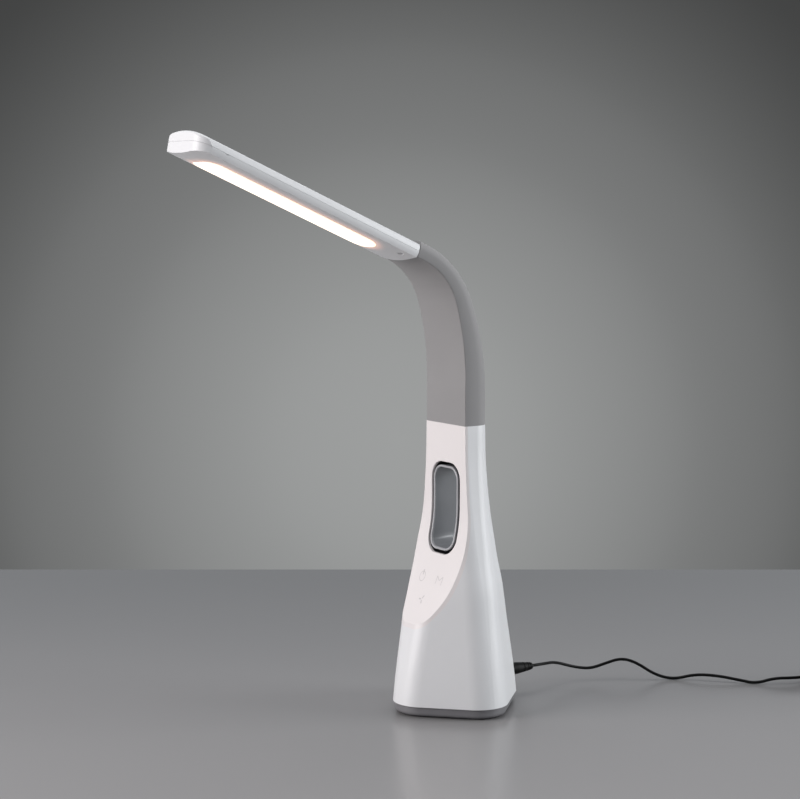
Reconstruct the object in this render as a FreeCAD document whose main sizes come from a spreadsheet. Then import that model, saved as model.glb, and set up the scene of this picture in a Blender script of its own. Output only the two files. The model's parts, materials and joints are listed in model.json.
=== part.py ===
import FreeCAD, Part
import os
from math import atan2, cos, degrees, pi, radians, sin, sqrt, tan

import Sketcher

Vector = FreeCAD.Vector
X_AXIS = Vector(1, 0, 0)
Y_AXIS = Vector(0, 1, 0)
Z_AXIS = Vector(0, 0, 1)

# Desk lamp with a tower fan. Millimetres. Origin: centre of the base, on the table.
# +Z is up, the head reaches out to -Y, the power inlet is at the back, +Y.

SIZES = {
    # tower outside
    "tower_foot": 9.5,
    "tower_top": 252.3,
    "base_reach": 60.8,
    "base_corner": 27.7,
    "base_forward": 1.2,
    "neck_width": 59.8,
    "top_corner": 15.3,
    "top_rear": 15.8,
    "top_front_reach": 24.3,
    "front_face": 12.2,
    "shell_wall": 2.2,
    "panel_wall": 2.5,
    "scoop_radius": 168.0,
    "scoop_top": 183.0,
    "crown_height": 2.3,
    "crown_drop": 83.0,
    "crown_radius": 172.0,
    "overrun": 8.0,
    "seat_gap": 0.2,
    "soft_gap": 0.3,
    # foot
    "foot_inset": 1.8,
    "foot_lift": 1.0,
    "foot_floor": 3.0,
    "foot_wall": 3.0,
    "rim_gap": 0.6,
    "foot_round": 3.0,
    "pad_inset": 7.0,
    "pad_height": 1.5,
    "boss_diameter": 7.0,
    "boss_setback": 10.0,
    "boss_top": 24.0,
    "rib_width": 2.0,
    "post_pitch": 16.0,
    "post_shift": 7.0,
    "foot_screw": 2.6,
    "foot_screw_head": 5.0,
    "foot_screw_head_height": 1.6,
    "foot_screw_length": 11.0,
    # air eye
    "eye_width": 43.0,
    "eye_height": 80.0,
    "eye_corner": 15.0,
    "eye_centre": 178.3,
    "slot_gap": 3.0,
    "eye_edge": 0.9,
    "sleeve_edge": 0.8,
    "sleeve_wall": 2.0,
    "nozzle_wall": 1.4,
    "nozzle_depth": 16.0,
    # intake slots
    "intake_width": 20.0,
    "intake_height": 2.4,
    "intake_pitch": 5.0,
    "intake_low": 42.0,
    "intake_count": 9,
    # fan
    "fan_y": 8.0,
    "fan_floor": 90.0,
    "fan_bore": 50.4,
    "fan_wall": 1.8,
    "fan_height": 22.0,
    "hub_plate": 28.0,
    "hub_plate_height": 2.5,
    "strut_width": 3.0,
    "motor_diameter": 20.0,
    "motor_height": 13.5,
    "shaft_diameter": 2.0,
    "shaft_gap": 0.05,
    "shaft_sink": 10.5,
    "shaft_rise": 3.6,
    "hub_diameter": 26.0,
    "hub_wall": 1.6,
    "hub_height": 14.5,
    "hub_rise": 3.8,
    "blade_count": 7,
    "blade_tip_gap": 0.6,
    "blade_thickness": 1.2,
    "blade_height": 11.0,
    "blade_pitch": 38.0,
    "bulkhead_height": 2.0,
    "bulkhead_setback": 12.0,
    # electronics in the base
    "ballast_width_share": 0.81,
    "ballast_depth_share": 0.777,
    "ballast_height": 12.0,
    "ballast_y": -8.0,
    "board_height": 17.5,
    "board_thickness": 1.6,
    "board_width": 30.0,
    "board_depth": 44.0,
    "board_setback": 19.0,
    "jack_width": 9.0,
    "jack_depth": 14.0,
    "jack_height": 11.0,
    "jack_setback": 10.3,
    "jack_collar": 7.6,
    "jack_bore": 6.0,
    "jack_recess_width": 20.0,
    "jack_recess_height": 22.0,
    "jack_recess_depth": 4.4,
    "capacitor_diameter": 8.0,
    "capacitor_height": 12.0,
    "chip_width": 8.0,
    "chip_height": 2.0,
    # touch board behind the front panel
    "touch_width": 36.0,
    "touch_length": 34.0,
    "touch_thickness": 1.2,
    "touch_setback": 9.5,
    "touch_centre_z": 105.0,
    "spring_diameter": 6.0,
    "key_spread": 26.0,
    "key_row": 17.5,
    # neck
    "neck_rise": 33.0,
    "lean_radius": 215.0,
    "lean_angle": 20.5,
    "bend_radius": 73.3,
    "bend_angle": 46.1,
    "neck_tail": 8.2,
    "sleeve_skin": 2.2,
    "rib_gap": 1.5,
    "first_hinge": 60.0,
    "hinge_pitch": 19.0,
    "tube_diameter": 7.0,
    "tube_spread_share": 0.435,
    "tube_end_gap": 0.4,
    "tube_sink": 20.0,
    "tube_tail": 15.0,
    "socket_height": 24.0,
    "clamp_side": 5.9,
    "clamp_height": 8.8,
    "clamp_depth": 21.0,
    "clamp_sink": 9.0,
    "neck_head_gap": 0.4,
    # head
    "head_length": 223.0,
    "head_tip_width": 66.4,
    "head_lap": 0.3,
    "head_height": 14.5,
    "head_belly": 3.9,
    "head_seam": 5.2,
    "head_wall": 1.8,
    "seam_gap": 0.2,
    "flank_level": 3.2,
    "cover_edge": 11.0,
    "cover_draw": 2.4,
    "frame_edge": 0.4,
    "frame_draw": 0.8,
    "tip_corner": 14.8,
    "tip_stand": 0.2,
    "tip_bow": 1.2,
    "tip_lean": 12.5,
    "cover_round": 2.4,
    "rear_bevel": 0.4,
    "notch_width": 2.2,
    "notch_height": 1.0,
    "notch_depth": 0.8,
    "notch_y": 200.0,
    "window_length": 174.0,
    "window_width": 38.6,
    "window_corner": 13.0,
    "window_rear": 30.2,
    "window_gap": 0.15,
    "diffuser_proud": 0.3,
    "diffuser_flange": 2.2,
    "flange_height": 1.0,
    "tray_wall": 1.2,
    "tray_height": 5.6,
    "led_board_height": 1.6,
    "led_width": 2.8,
    "led_height": 0.8,
    "led_count": 18,
    "led_row_gap": 15.0,
    "heat_plate_height": 1.0,
    "head_screw": 2.2,
    "head_screw_head": 4.4,
    "head_screw_head_height": 1.4,
    "head_screw_recess": 5.4,
    "head_screw_reach": 6.0,
    "head_screw_edge": 2.5,
    "head_screw_y": 11.3,
    # power lead
    "plug_height": 24.6,
    "plug_diameter": 10.8,
    "plug_grip": 9.0,
    "plug_taper": 18.0,
    "plug_tail": 6.2,
    "plug_groove": 0.5,
    "plug_groove_width": 0.9,
    "plug_end_round": 1.2,
    "plug_run": 14.6,
    "barrel_diameter": 5.5,
    "barrel_length": 9.5,
    "lead_diameter": 2.8,
    "coil_x": 112.0,
    "coil_y": 366.0,
    "coil_entry": -34.0,
    "coil_middle": 15.8,
    "coil_pitch": 3.8,
    "coil_rise": 3.3,
    "coil_lift": 1.1,
    "coil_layers": 4,
    "coil_layer_turns": 2.0625,
    "coil_entry_run": 20.0,
    "coil_tail": 6.0,
    "tie_angle": 100.0,
    "tie_width": 6.0,
    "tie_thickness": 0.9,
    "relief_length": 15.0,
    "relief_diameter": 7.0,
    "relief_tail": 4.6,
    "adapter_length": 50.0,
    "adapter_depth": 27.0,
    "adapter_height": 36.0,
    "adapter_corner": 4.0,
    "pin_diameter": 4.0,
    "pin_length": 18.0,
    "pin_spread": 19.0,
}

doc = FreeCAD.newDocument("lamp")
sheet = doc.addObject("Spreadsheet::Sheet", "Sizes")
for row, (alias, value) in enumerate(SIZES.items(), start=1):
    sheet.set("A%d" % row, alias)
    sheet.set("B%d" % row, str(value))
    sheet.setAlias("B%d" % row, alias)
doc.recompute()

JACK_FACE = "(Sizes.base_reach - Sizes.jack_recess_depth)"
JACK_Y = "(Sizes.base_reach - Sizes.jack_recess_depth - Sizes.jack_setback)"
BOARD_Y = "(Sizes.base_reach - Sizes.jack_recess_depth - Sizes.jack_setback - Sizes.board_setback)"

nodes = []


def size(alias):
    """The value of one cell of the sheet."""
    return float(sheet.get(alias))


def value_of(expression):
    """The number that an expression on the sheet's cells gives."""
    result = sheet.evalExpression(expression)
    return float(getattr(result, "Value", result))


def keep(obj, label):
    """Name a finished sub-part and put it on the list of files."""
    obj.Label = label
    nodes.append(obj)
    return obj


def shaped(label, shape, placement=None):
    """A sub-part whose shape is worked out from the sheet by this file's own functions."""
    obj = doc.addObject("Part::Feature", label)
    obj.Shape = shape
    if placement:
        obj.Placement = placement
    return keep(obj, label)


def primitive(kind, name, sizes, place=()):
    """A Part primitive with its sizes and its place bound to expressions."""
    obj = doc.addObject("Part::" + kind, name)
    for prop, expression in sizes.items():
        obj.setExpression(prop, expression)
    for axis, expression in zip("xyz", place):
        obj.setExpression("Placement.Base." + axis, expression)
    return obj


def box(name, width, depth, height, centre_x, centre_y, low_z):
    """A block centred on a point of the plan, standing on a level."""
    place = ("%s - (%s) / 2" % (centre_x, width), "%s - (%s) / 2" % (centre_y, depth), low_z)
    return primitive("Box", name, {"Length": width, "Width": depth, "Height": height}, place)


def cylinder(name, diameter, height, x, y, z, turn=None):
    """A round bar that stands on a point, or lies where turn says."""
    obj = primitive("Cylinder", name, {"Radius": "(%s) / 2" % diameter, "Height": height}, (x, y, z))
    if turn:
        obj.Placement.Rotation = turn
    return obj


def boolean(kind, name, base, tool):
    """Part::Cut, Part::Fuse or Part::Common of two objects."""
    obj = doc.addObject("Part::" + kind, name)
    obj.Base = base
    obj.Tool = tool
    return obj


def joined(name, parts):
    """Several objects fused to one."""
    obj = doc.addObject("Part::MultiFuse", name)
    obj.Shapes = parts
    return obj


def grouped(label, parts):
    """Separate, alike solids that share one node."""
    obj = doc.addObject("Part::Compound", label)
    obj.Links = parts
    return keep(obj, label)


def sketch_polygon(body, name, role, corners):
    """A closed outline on one of the body's own planes, each corner bound to two expressions."""
    sketch = body.newObject("Sketcher::SketchObject", name)
    plane = next(item for item in body.Origin.OriginFeatures if item.Role == role)
    sketch.AttachmentSupport = [(plane, "")]
    sketch.MapMode = "FlatFace"
    points = [Vector(value_of(x), value_of(y), 0) for x, y in corners]
    count = len(points)
    for index in range(count):
        sketch.addGeometry(Part.LineSegment(points[index], points[(index + 1) % count]))
    for index in range(count):
        sketch.addConstraint(Sketcher.Constraint("Coincident", index, 2, (index + 1) % count, 1))
    for index, corner in enumerate(corners):
        for kind, axis, expression in (("DistanceX", -2, corner[0]), ("DistanceY", -1, corner[1])):
            if expression == "0":
                sketch.addConstraint(Sketcher.Constraint("PointOnObject", index, 1, axis))
                continue
            place = value_of(expression)
            number = sketch.addConstraint(Sketcher.Constraint(kind, -1, 1, index, 1, place))
            sketch.setExpression("Constraints[%d]" % number, expression)
    return sketch


def turned(label, corners, place, rotation):
    """A body turned about its own axis from half an outline of radius and height, then laid in place."""
    body = doc.addObject("PartDesign::Body", label)
    sketch = sketch_polygon(body, label + "_outline", "XZ_Plane", corners)
    feature = body.newObject("PartDesign::Revolution", label + "_turn")
    feature.Profile = sketch
    feature.ReferenceAxis = (sketch, ["V_Axis"])
    feature.Angle = 360
    body.Tip = feature
    body.Placement.Rotation = rotation
    for axis, expression in zip("xyz", place):
        body.setExpression("Placement.Base." + axis, expression)
    return body


def arc(start, middle, end):
    """The edge of an arc through three points."""
    return Part.Arc(start, middle, end).toShape()


def line(start, end):
    """The edge of a straight line."""
    return Part.LineSegment(start, end).toShape()


def prism(points, offset):
    """A solid swept straight from a polygon."""
    return Part.Face(Part.makePolygon(list(points) + [points[0]])).extrude(offset)


def round_rectangle(width, height, corner, place, offset):
    """A bar of rounded rectangle section, centred on place in the XZ plane, swept along offset."""
    half_w = width / 2
    half_h = height / 2
    flat = prism([Vector(-half_w, 0, -half_h), Vector(half_w, 0, -half_h),
                  Vector(half_w, 0, half_h), Vector(-half_w, 0, half_h)], offset)
    uprights = [edge for edge in flat.Edges if abs(edge.tangentAt(edge.FirstParameter).cross(offset).Length)
                < offset.Length / 1000]
    bar = flat.makeFillet(corner, uprights)
    bar.translate(place)
    return bar


def blend(first, second, share):
    """A value between two others."""
    return first + (second - first) * share


# Tower: how far each level has changed from the base outline to the top outline

FLARE_SHARES = [
    (0.0, 0.015), (0.04, 0.046), (0.084, 0.087), (0.167, 0.178), (0.249, 0.275), (0.332, 0.366),
    (0.414, 0.455), (0.496, 0.587), (0.579, 0.698), (0.661, 0.802), (0.743, 0.883), (0.826, 0.942),
    (0.908, 0.978), (1.0, 0.995),
]
CROWN_LEAST_SHARE = 0.15
HALF_TURN_SHARE = sqrt(0.5)


def tower_outline(level, share, inset):
    """One level of the tower: a rounded lozenge that turns into a rounded oblong, in 16 edges."""
    radius = blend(size("base_corner"), size("top_corner"), share)
    base_arm = size("base_reach") - size("base_corner")
    top_arm = size("neck_width") / 2 - size("top_corner")
    rear_arm = size("top_rear") - size("top_corner")
    front_arm = size("top_front_reach") - size("top_corner")
    shift = (1 - share) * size("base_forward")
    side_x = blend(base_arm, top_arm, share)
    end_x = share * top_arm
    centres = [
        (side_x, share * rear_arm - shift), (end_x, blend(base_arm, rear_arm, share) - shift),
        (-end_x, blend(base_arm, rear_arm, share) - shift), (-side_x, share * rear_arm - shift),
        (-side_x, -share * front_arm - shift), (-end_x, -blend(base_arm, front_arm, share) - shift),
        (end_x, -blend(base_arm, front_arm, share) - shift), (side_x, -share * front_arm - shift),
    ]
    inner = radius - inset
    edges = []
    ends = []
    for index, (x, y) in enumerate(centres):
        ends.append([Vector(x + inner * cos(pi / 4 * turn), y + inner * sin(pi / 4 * turn), level)
                     for turn in (index, index + 0.5, index + 1)])
    for index, (start, middle, end) in enumerate(ends):
        edges.append(arc(start, middle, end))
        edges.append(line(end, ends[(index + 1) % len(ends)][0]))
    return Part.Wire(edges)


def tower_form(inset, low, high):
    """The tower's outer form, or that form drawn in by a wall, before its front is scooped out."""
    foot = size("tower_foot")
    rise = size("tower_top") - foot
    wires = [tower_outline(foot + rise * place, share, inset) for place, share in FLARE_SHARES]
    form = Part.makeLoft(wires, True, False)
    if low < foot:
        bottom = tower_outline(foot, FLARE_SHARES[0][1], inset)
        form = form.fuse(Part.Face(bottom).extrude(Vector(0, 0, low - foot)))
    if high > size("tower_top"):
        top = tower_outline(size("tower_top"), FLARE_SHARES[-1][1], inset)
        form = form.fuse(Part.Face(top).extrude(Vector(0, 0, high - size("tower_top"))))
    return form


def front_y(level):
    """Where the front face lies at the sides of the panel."""
    drop = max(size("scoop_top") - level, 0)
    radius = size("scoop_radius")
    return -size("front_face") - (radius - sqrt(radius * radius - drop * drop))


def crown_depth(level):
    """How far the panel's middle stands before its sides."""
    share = min(max(size("scoop_top") - level, 0) / size("crown_drop"), 1)
    return size("crown_height") * share * share * (3 - 2 * share)


def crown_bend(level):
    """How fast the front face falls back from its middle, as depth over width squared."""
    share = max(size("scoop_top") - level, 0) / size("crown_drop")
    return max(share, CROWN_LEAST_SHARE) ** 3 / (2 * size("crown_radius"))


def front_space(setback):
    """All that lies before the concave front face, or before that face set back by a wall."""
    half = size("base_reach") + size("overrun")
    top = size("tower_top") + size("overrun")
    bottom = size("scoop_top") - size("scoop_radius") * 0.76
    steps = 14
    wires = []
    for step in range(steps + 1):
        level = blend(top, bottom, step / steps)
        middle = front_y(level) + setback - crown_depth(level)
        side = middle + crown_bend(level) * half * half
        far = -size("scoop_radius")
        left = Vector(-half, side, level)
        right = Vector(half, side, level)
        edges = [arc(left, Vector(0, middle, level), right),
                 line(right, Vector(half, far, level)),
                 line(Vector(half, far, level), Vector(-half, far, level)),
                 line(Vector(-half, far, level), left)]
        wires.append(Part.Wire(edges))
    return Part.makeLoft(wires, True, False)


def eye_bar(growth):
    """A bar through the tower with the outline of the air eye, grown on every side."""
    reach = size("base_reach") + size("overrun")
    return round_rectangle(size("eye_width") + 2 * growth, size("eye_height") + 2 * growth,
                           size("eye_corner") + growth, Vector(0, -reach, size("eye_centre")),
                           Vector(0, 2 * reach, 0))


def boss_offset():
    """How far the screw bosses stand from the middle, both ways."""
    side = (size("base_reach") - size("base_corner")) * HALF_TURN_SHARE + size("base_corner")
    return (side - size("boss_setback")) * HALF_TURN_SHARE


def boss_places():
    """The four screw bosses, each beside the middle of one side of the lozenge."""
    for side_x in (-1, 1):
        for side_y in (-1, 1):
            yield side_x * boss_offset(), side_y * boss_offset() - size("base_forward")


def boss_form(x, y):
    """One screw boss inside the shell, with the rib that carries it from the wall."""
    floor = size("foot_lift") + size("foot_floor")
    rib_low = size("tower_foot") + size("foot_wall") + size("seat_gap")
    boss = Part.makeCylinder(size("boss_diameter") / 2, size("boss_top") - floor, Vector(x, y, floor))
    rib = Part.makeBox(size("base_reach") - boss_offset(), size("rib_width"), size("boss_top") - rib_low,
                       Vector(0, -size("rib_width") / 2, rib_low))
    rib.rotate(Vector(0, 0, 0), Z_AXIS, degrees(atan2(y + size("base_forward"), x)))
    rib.translate(Vector(x, y, 0))
    return boss.fuse(rib)


def make_tower():
    """White tower shell, front panel, grey eye sleeve and black air nozzle."""
    foot = size("tower_foot")
    top = size("tower_top")
    wall = size("shell_wall")
    over = size("overrun")
    outer = tower_form(0, foot, top)
    inner = tower_form(wall, foot - over, top + over)
    panel_space = front_space(0)
    panel_back = front_space(size("panel_wall"))
    scooped = outer.cut(panel_space)

    shell = outer.cut(inner).cut(panel_back)
    sleeve_growth = -size("slot_gap")
    shell = shell.cut(eye_bar(sleeve_growth + size("seat_gap")))
    slot_width = size("intake_width")
    for index in range(int(size("intake_count"))):
        level = size("intake_low") + index * size("intake_pitch")
        slot = Part.makeBox(slot_width, size("base_reach") + over, size("intake_height"),
                            Vector(-slot_width / 2, 0, level))
        shell = shell.cut(slot)
    recess = Part.makeBox(size("jack_recess_width"), over * 2, size("jack_recess_height"),
                          Vector(-size("jack_recess_width") / 2, value_of(JACK_FACE),
                                 size("plug_height") - size("jack_recess_height") / 2))
    shell = shell.cut(recess)
    hole = Part.makeCylinder(size("jack_collar") / 2 + size("seat_gap"), size("base_reach"),
                             Vector(0, value_of(JACK_Y), size("plug_height")), Y_AXIS)
    shell = shell.cut(hole)
    for x, y in boss_places():
        shell = shell.fuse(boss_form(x, y).common(tower_form(0, 0, top)))
        shell = shell.cut(screw_form(x, y, size("shaft_gap")))
    shaped("tower_shell", largest(shell))

    panel = largest(scooped.common(panel_back).cut(eye_bar(0)))
    shaped("front_panel", panel.makeFillet(size("eye_edge"), eye_rims(panel, 0)))

    sleeve = scooped.common(eye_bar(sleeve_growth)).cut(eye_bar(sleeve_growth - size("sleeve_wall")))
    sleeve = largest(sleeve)
    shaped("eye_sleeve", sleeve.makeFillet(size("sleeve_edge"), eye_rims(sleeve, sleeve_growth)))

    nozzle = scooped.cut(panel_back).common(eye_bar(size("nozzle_wall"))).cut(eye_bar(0))
    depth_limit = Part.makeBox(2 * size("base_reach"), size("base_reach"), top,
                               Vector(-size("base_reach"), -size("front_face") + size("nozzle_depth"), 0))
    nozzle = nozzle.cut(depth_limit)
    shaped("air_nozzle", largest(nozzle))


def eye_rims(shape, growth):
    """The edges of the air eye that lie in the front face."""
    half = size("eye_width") / 2 + growth + size("seat_gap")
    low = size("eye_centre") - size("eye_height") / 2 - growth - size("seat_gap")
    high = size("eye_centre") + size("eye_height") / 2 + growth + size("seat_gap")
    rims = []
    for edge in shape.Edges:
        spot = edge.CenterOfMass
        face = front_y(spot.z) - crown_depth(spot.z)
        within = abs(spot.x) < half and low < spot.z < high
        if within and face - size("seat_gap") < spot.y < face + size("crown_height") / 2:
            rims.append(edge)
    return rims


def largest(shape):
    """The largest solid of a boolean's result."""
    return max(shape.Solids, key=lambda solid: solid.Volume)


def foot_outline(level, inset):
    """The grey foot's outline, inside the shell's lower edge."""
    return tower_outline(level, FLARE_SHARES[0][1], inset)


def foot_slab(inset, low, high):
    """A slab of the foot's outline between two levels."""
    return Part.Face(foot_outline(low, inset)).extrude(Vector(0, 0, high - low))


def foot_round(inset, low):
    """The foot's rounded lower edge, up to where its wall stands straight."""
    radius = size("foot_round")
    wires = []
    for step in range(5):
        turn = pi / 8 * step
        wires.append(foot_outline(low + radius * (1 - cos(turn)), inset + radius * (1 - sin(turn))))
    return Part.makeLoft(wires, True, False)


def make_foot():
    """Grey foot with its rim and board posts, foam pad and screws."""
    low = size("foot_lift")
    floor = low + size("foot_floor")
    inset = size("foot_inset")
    rim_inset = size("shell_wall") + size("rim_gap")
    top = size("tower_foot")
    plate = foot_slab(inset, low + size("foot_round"), top).fuse(foot_round(inset, low))
    plate = plate.fuse(foot_slab(rim_inset, top, top + size("foot_wall")))
    plate = plate.cut(foot_slab(rim_inset + size("foot_wall"), floor, top + size("overrun")))
    plate = plate.cut(foot_slab(size("pad_inset") - size("seat_gap"), 0, size("pad_height")))
    for x, y in boss_places():
        plate = plate.cut(screw_form(x, y, size("shaft_gap")))
    for side in (-1, 1):
        y = value_of(BOARD_Y) + size("post_shift") + side * size("post_pitch") / 2
        post = Part.makeCylinder(size("boss_diameter") / 2, size("board_height") - floor, Vector(0, y, floor))
        plate = plate.fuse(post)
    shaped("foot_plate", largest(plate))
    shaped("base_pad", foot_slab(size("pad_inset"), 0, size("pad_height")))
    screws = []
    for x, y in boss_places():
        screws.append(screw_form(x, y, 0))
    shaped("foot_screws", Part.makeCompound(screws))


def screw_form(x, y, gap):
    """One foot screw, or the room for it with a clearance."""
    low = size("pad_height")
    seat = low + size("foot_screw_head_height")
    head = Part.makeCylinder(size("foot_screw_head") / 2 + gap, seat - low + gap, Vector(x, y, low))
    shank = Part.makeCylinder(size("foot_screw") / 2 + gap, size("foot_screw_length") + gap,
                              Vector(x, y, seat))
    return head.fuse(shank)


def make_base_fittings():
    """Ballast, main board with its parts, and the inlet socket."""
    floor = "(Sizes.foot_lift + Sizes.foot_floor)"
    keep(box("ballast", "Sizes.base_reach * Sizes.ballast_width_share",
             "Sizes.base_reach * Sizes.ballast_depth_share", "Sizes.ballast_height",
             "0", "Sizes.ballast_y", floor), "ballast")
    keep(box("main_board", "Sizes.board_width", "Sizes.board_depth", "Sizes.board_thickness",
             "0", BOARD_Y, "Sizes.board_height"), "main_board")
    top = "Sizes.board_height + Sizes.board_thickness"
    parts = [cylinder("capacitor_%d" % index, "Sizes.capacitor_diameter", "Sizes.capacitor_height",
                      "%d * Sizes.capacitor_diameter * 1.5" % index, BOARD_Y, top)
             for index in (-1, 1)]
    parts.append(box("controller", "Sizes.chip_width", "Sizes.chip_width", "Sizes.chip_height",
                     "0", BOARD_Y + " - Sizes.chip_width", top))
    grouped("board_parts", parts)
    case = box("jack_case", "Sizes.jack_width", "Sizes.jack_depth", "Sizes.jack_height",
               "0", JACK_Y, top)
    along_y = FreeCAD.Rotation(X_AXIS, -90)
    face = JACK_Y + " + Sizes.jack_depth / 2"
    collar = cylinder("jack_collar", "Sizes.jack_collar", "%s - (%s)" % (JACK_FACE, face),
                      "0", face, "Sizes.plug_height", along_y)
    bore = cylinder("jack_bore", "Sizes.jack_bore",
                    "Sizes.barrel_length + Sizes.seat_gap + Sizes.overrun",
                    "0", JACK_FACE + " - Sizes.barrel_length - Sizes.seat_gap",
                    "Sizes.plug_height", along_y)
    body = joined("jack_body", [case, collar])
    keep(boolean("Cut", "dc_jack", body, bore), "dc_jack")


def make_fan():
    """Axial fan: duct with bulkhead, struts and hub plate, motor, shaft and impeller."""
    floor = size("fan_floor")
    centre = Vector(0, size("fan_y"), floor)
    height = size("fan_height")
    bore = size("fan_bore") / 2
    duct = Part.makeCylinder(bore + size("fan_wall"), height, centre)
    sheet_low = floor + height - size("bulkhead_height")
    deck = tower_form(size("shell_wall") + size("soft_gap"), size("tower_foot"), size("tower_top"))
    slab = Part.makeBox(3 * size("base_reach"), 3 * size("base_reach"), size("bulkhead_height"),
                        Vector(-1.5 * size("base_reach"), -1.5 * size("base_reach"), sheet_low))
    deck = deck.common(slab).cut(front_space(size("bulkhead_setback")))
    duct = duct.fuse(deck).cut(Part.makeCylinder(bore, 2 * height, centre - Z_AXIS * height / 2))
    plate = Part.makeCylinder(size("hub_plate") / 2, size("hub_plate_height"), centre)
    width = size("strut_width")
    for index in range(3):
        strut = Part.makeBox(bore + size("fan_wall") / 2, width, size("hub_plate_height"),
                             Vector(0, -width / 2, 0))
        strut.rotate(Vector(0, 0, 0), Z_AXIS, 30 + 120 * index)
        strut.translate(centre)
        plate = plate.fuse(strut)
    shaped("fan_duct", largest(duct.fuse(plate)))

    base = "Sizes.fan_floor + Sizes.hub_plate_height"
    can = cylinder("motor_can", "Sizes.motor_diameter", "Sizes.motor_height", "0", "Sizes.fan_y", base)
    tunnel = cylinder("motor_tunnel", "Sizes.shaft_diameter + 2 * Sizes.shaft_gap",
                      "Sizes.shaft_sink + Sizes.overrun", "0", "Sizes.fan_y",
                      base + " + Sizes.motor_height - Sizes.shaft_sink")
    keep(boolean("Cut", "fan_motor", can, tunnel), "fan_motor")
    motor_top = size("fan_floor") + size("hub_plate_height") + size("motor_height")
    keep(cylinder("fan_shaft", "Sizes.shaft_diameter",
                  "Sizes.shaft_sink + Sizes.shaft_rise - Sizes.soft_gap", "0", "Sizes.fan_y",
                  base + " + Sizes.motor_height - Sizes.shaft_sink + Sizes.soft_gap"), "fan_shaft")
    top = motor_top + size("hub_rise")
    hub = Part.makeCylinder(size("hub_diameter") / 2, size("hub_height"),
                            Vector(0, size("fan_y"), top - size("hub_height")))
    hollow = Part.makeCylinder(size("hub_diameter") / 2 - size("hub_wall"),
                               size("hub_height") - size("hub_wall"),
                               Vector(0, size("fan_y"), top - size("hub_height")))
    hub = hub.cut(hollow)
    boss = Part.makeCylinder(size("shaft_diameter"), size("hub_rise") - size("soft_gap"),
                             Vector(0, size("fan_y"), motor_top + size("soft_gap")))
    hub = hub.fuse(boss)
    tip = bore - size("blade_tip_gap")
    root = size("hub_diameter") / 2 - size("hub_wall") / 2
    middle = top - size("hub_height") / 2
    ring = Part.makeCylinder(tip, size("hub_height"), Vector(0, size("fan_y"), top - size("hub_height")))
    ring = ring.cut(Part.makeCylinder(root, 2 * size("hub_height"),
                                      Vector(0, size("fan_y"), top - 1.5 * size("hub_height"))))
    for index in range(int(size("blade_count"))):
        chord = size("blade_height") / sin(radians(size("blade_pitch")))
        blade = Part.makeBox(tip, chord, size("blade_thickness"),
                             Vector(0, -chord / 2, -size("blade_thickness") / 2))
        blade.rotate(Vector(0, 0, 0), X_AXIS, size("blade_pitch"))
        blade.rotate(Vector(0, 0, 0), Z_AXIS, 360 / size("blade_count") * index)
        blade.translate(Vector(0, size("fan_y"), middle))
        hub = hub.fuse(blade.common(ring))
    hub = hub.cut(Part.makeCylinder(size("shaft_diameter") / 2, size("shaft_rise"),
                                    Vector(0, size("fan_y"), motor_top)))
    shaped("impeller", largest(hub))


def make_touch_board():
    """Touch board behind the panel, with one contact spring for each of the three keys."""
    level = size("touch_centre_z")
    half = size("touch_length") / 2
    middle, upper, lower = [front_y(at) - crown_depth(at) for at in (level, level + half, level - half)]
    tilt = FreeCAD.Rotation(X_AXIS, -degrees(atan2(upper - lower, 2 * half)))
    place = FreeCAD.Placement(Vector(0, middle + size("touch_setback"), level), tilt)
    thick = size("touch_thickness")
    board = Part.makeBox(size("touch_width"), thick, size("touch_length"),
                         Vector(-size("touch_width") / 2, 0, -size("touch_length") / 2))
    shaped("touch_board", board, place)
    keys = [(-size("key_spread") / 2, size("key_row") / 2), (size("key_spread") / 2, size("key_row") / 2),
            (0, -size("key_row") / 2)]
    springs = []
    before_panel = front_space(size("panel_wall") + size("seat_gap"))
    for x, z in keys:
        spring = Part.makeCylinder(size("spring_diameter") / 2, 2 * size("touch_setback"),
                                   Vector(x, 0, z), -Y_AXIS)
        spring.Placement = place
        springs.append(largest(spring.cut(before_panel)))
    shaped("touch_springs", Part.makeCompound(springs))


# Neck: stations along the middle line of the sleeve

THICKNESS_SHARES = [
    (-0.2, 1.0), (0.0, 1.0), (0.18, 1.005), (0.33, 0.945), (0.50, 0.83), (0.61, 0.735), (0.73, 0.625),
    (0.84, 0.56), (0.95, 0.525), (1.2, 0.52),
]
REAR_CORNER_SHARE = 0.537


def neck_depth():
    """The neck's depth where it leaves the tower."""
    return size("front_face") + size("top_rear")


def neck_length():
    """The length of the neck's middle line, from the tower to the head."""
    return (size("neck_rise") + size("lean_radius") * radians(size("lean_angle"))
            + size("bend_radius") * radians(size("bend_angle")) + size("neck_tail"))


def thickness(place):
    """The neck's depth at a place along the middle line."""
    share = place / neck_length()
    for (start, first), (end, second) in zip(THICKNESS_SHARES, THICKNESS_SHARES[1:]):
        if share <= end:
            return neck_depth() * blend(first, second, (share - start) / (end - start))
    return neck_depth() * THICKNESS_SHARES[-1][1]


def station(place):
    """The middle line's point and its lean from upright, in radians, at a place along it."""
    y = size("top_rear") / 2 - size("front_face") / 2
    z = size("tower_top")
    rest = place
    if rest <= size("neck_rise"):
        return Vector(0, y, z + rest), 0.0
    rest -= size("neck_rise")
    z += size("neck_rise")
    lean = 0.0
    for radius, angle in ((size("lean_radius"), radians(size("lean_angle"))),
                          (size("bend_radius"), radians(size("bend_angle")))):
        turn = min(rest / radius, angle)
        y -= radius * (cos(lean) - cos(lean + turn))
        z += radius * (sin(lean + turn) - sin(lean))
        lean += turn
        rest -= turn * radius
        if rest <= 0:
            return Vector(0, y, z), lean
    return Vector(0, y - rest * sin(lean), z + rest * cos(lean)), lean


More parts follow.
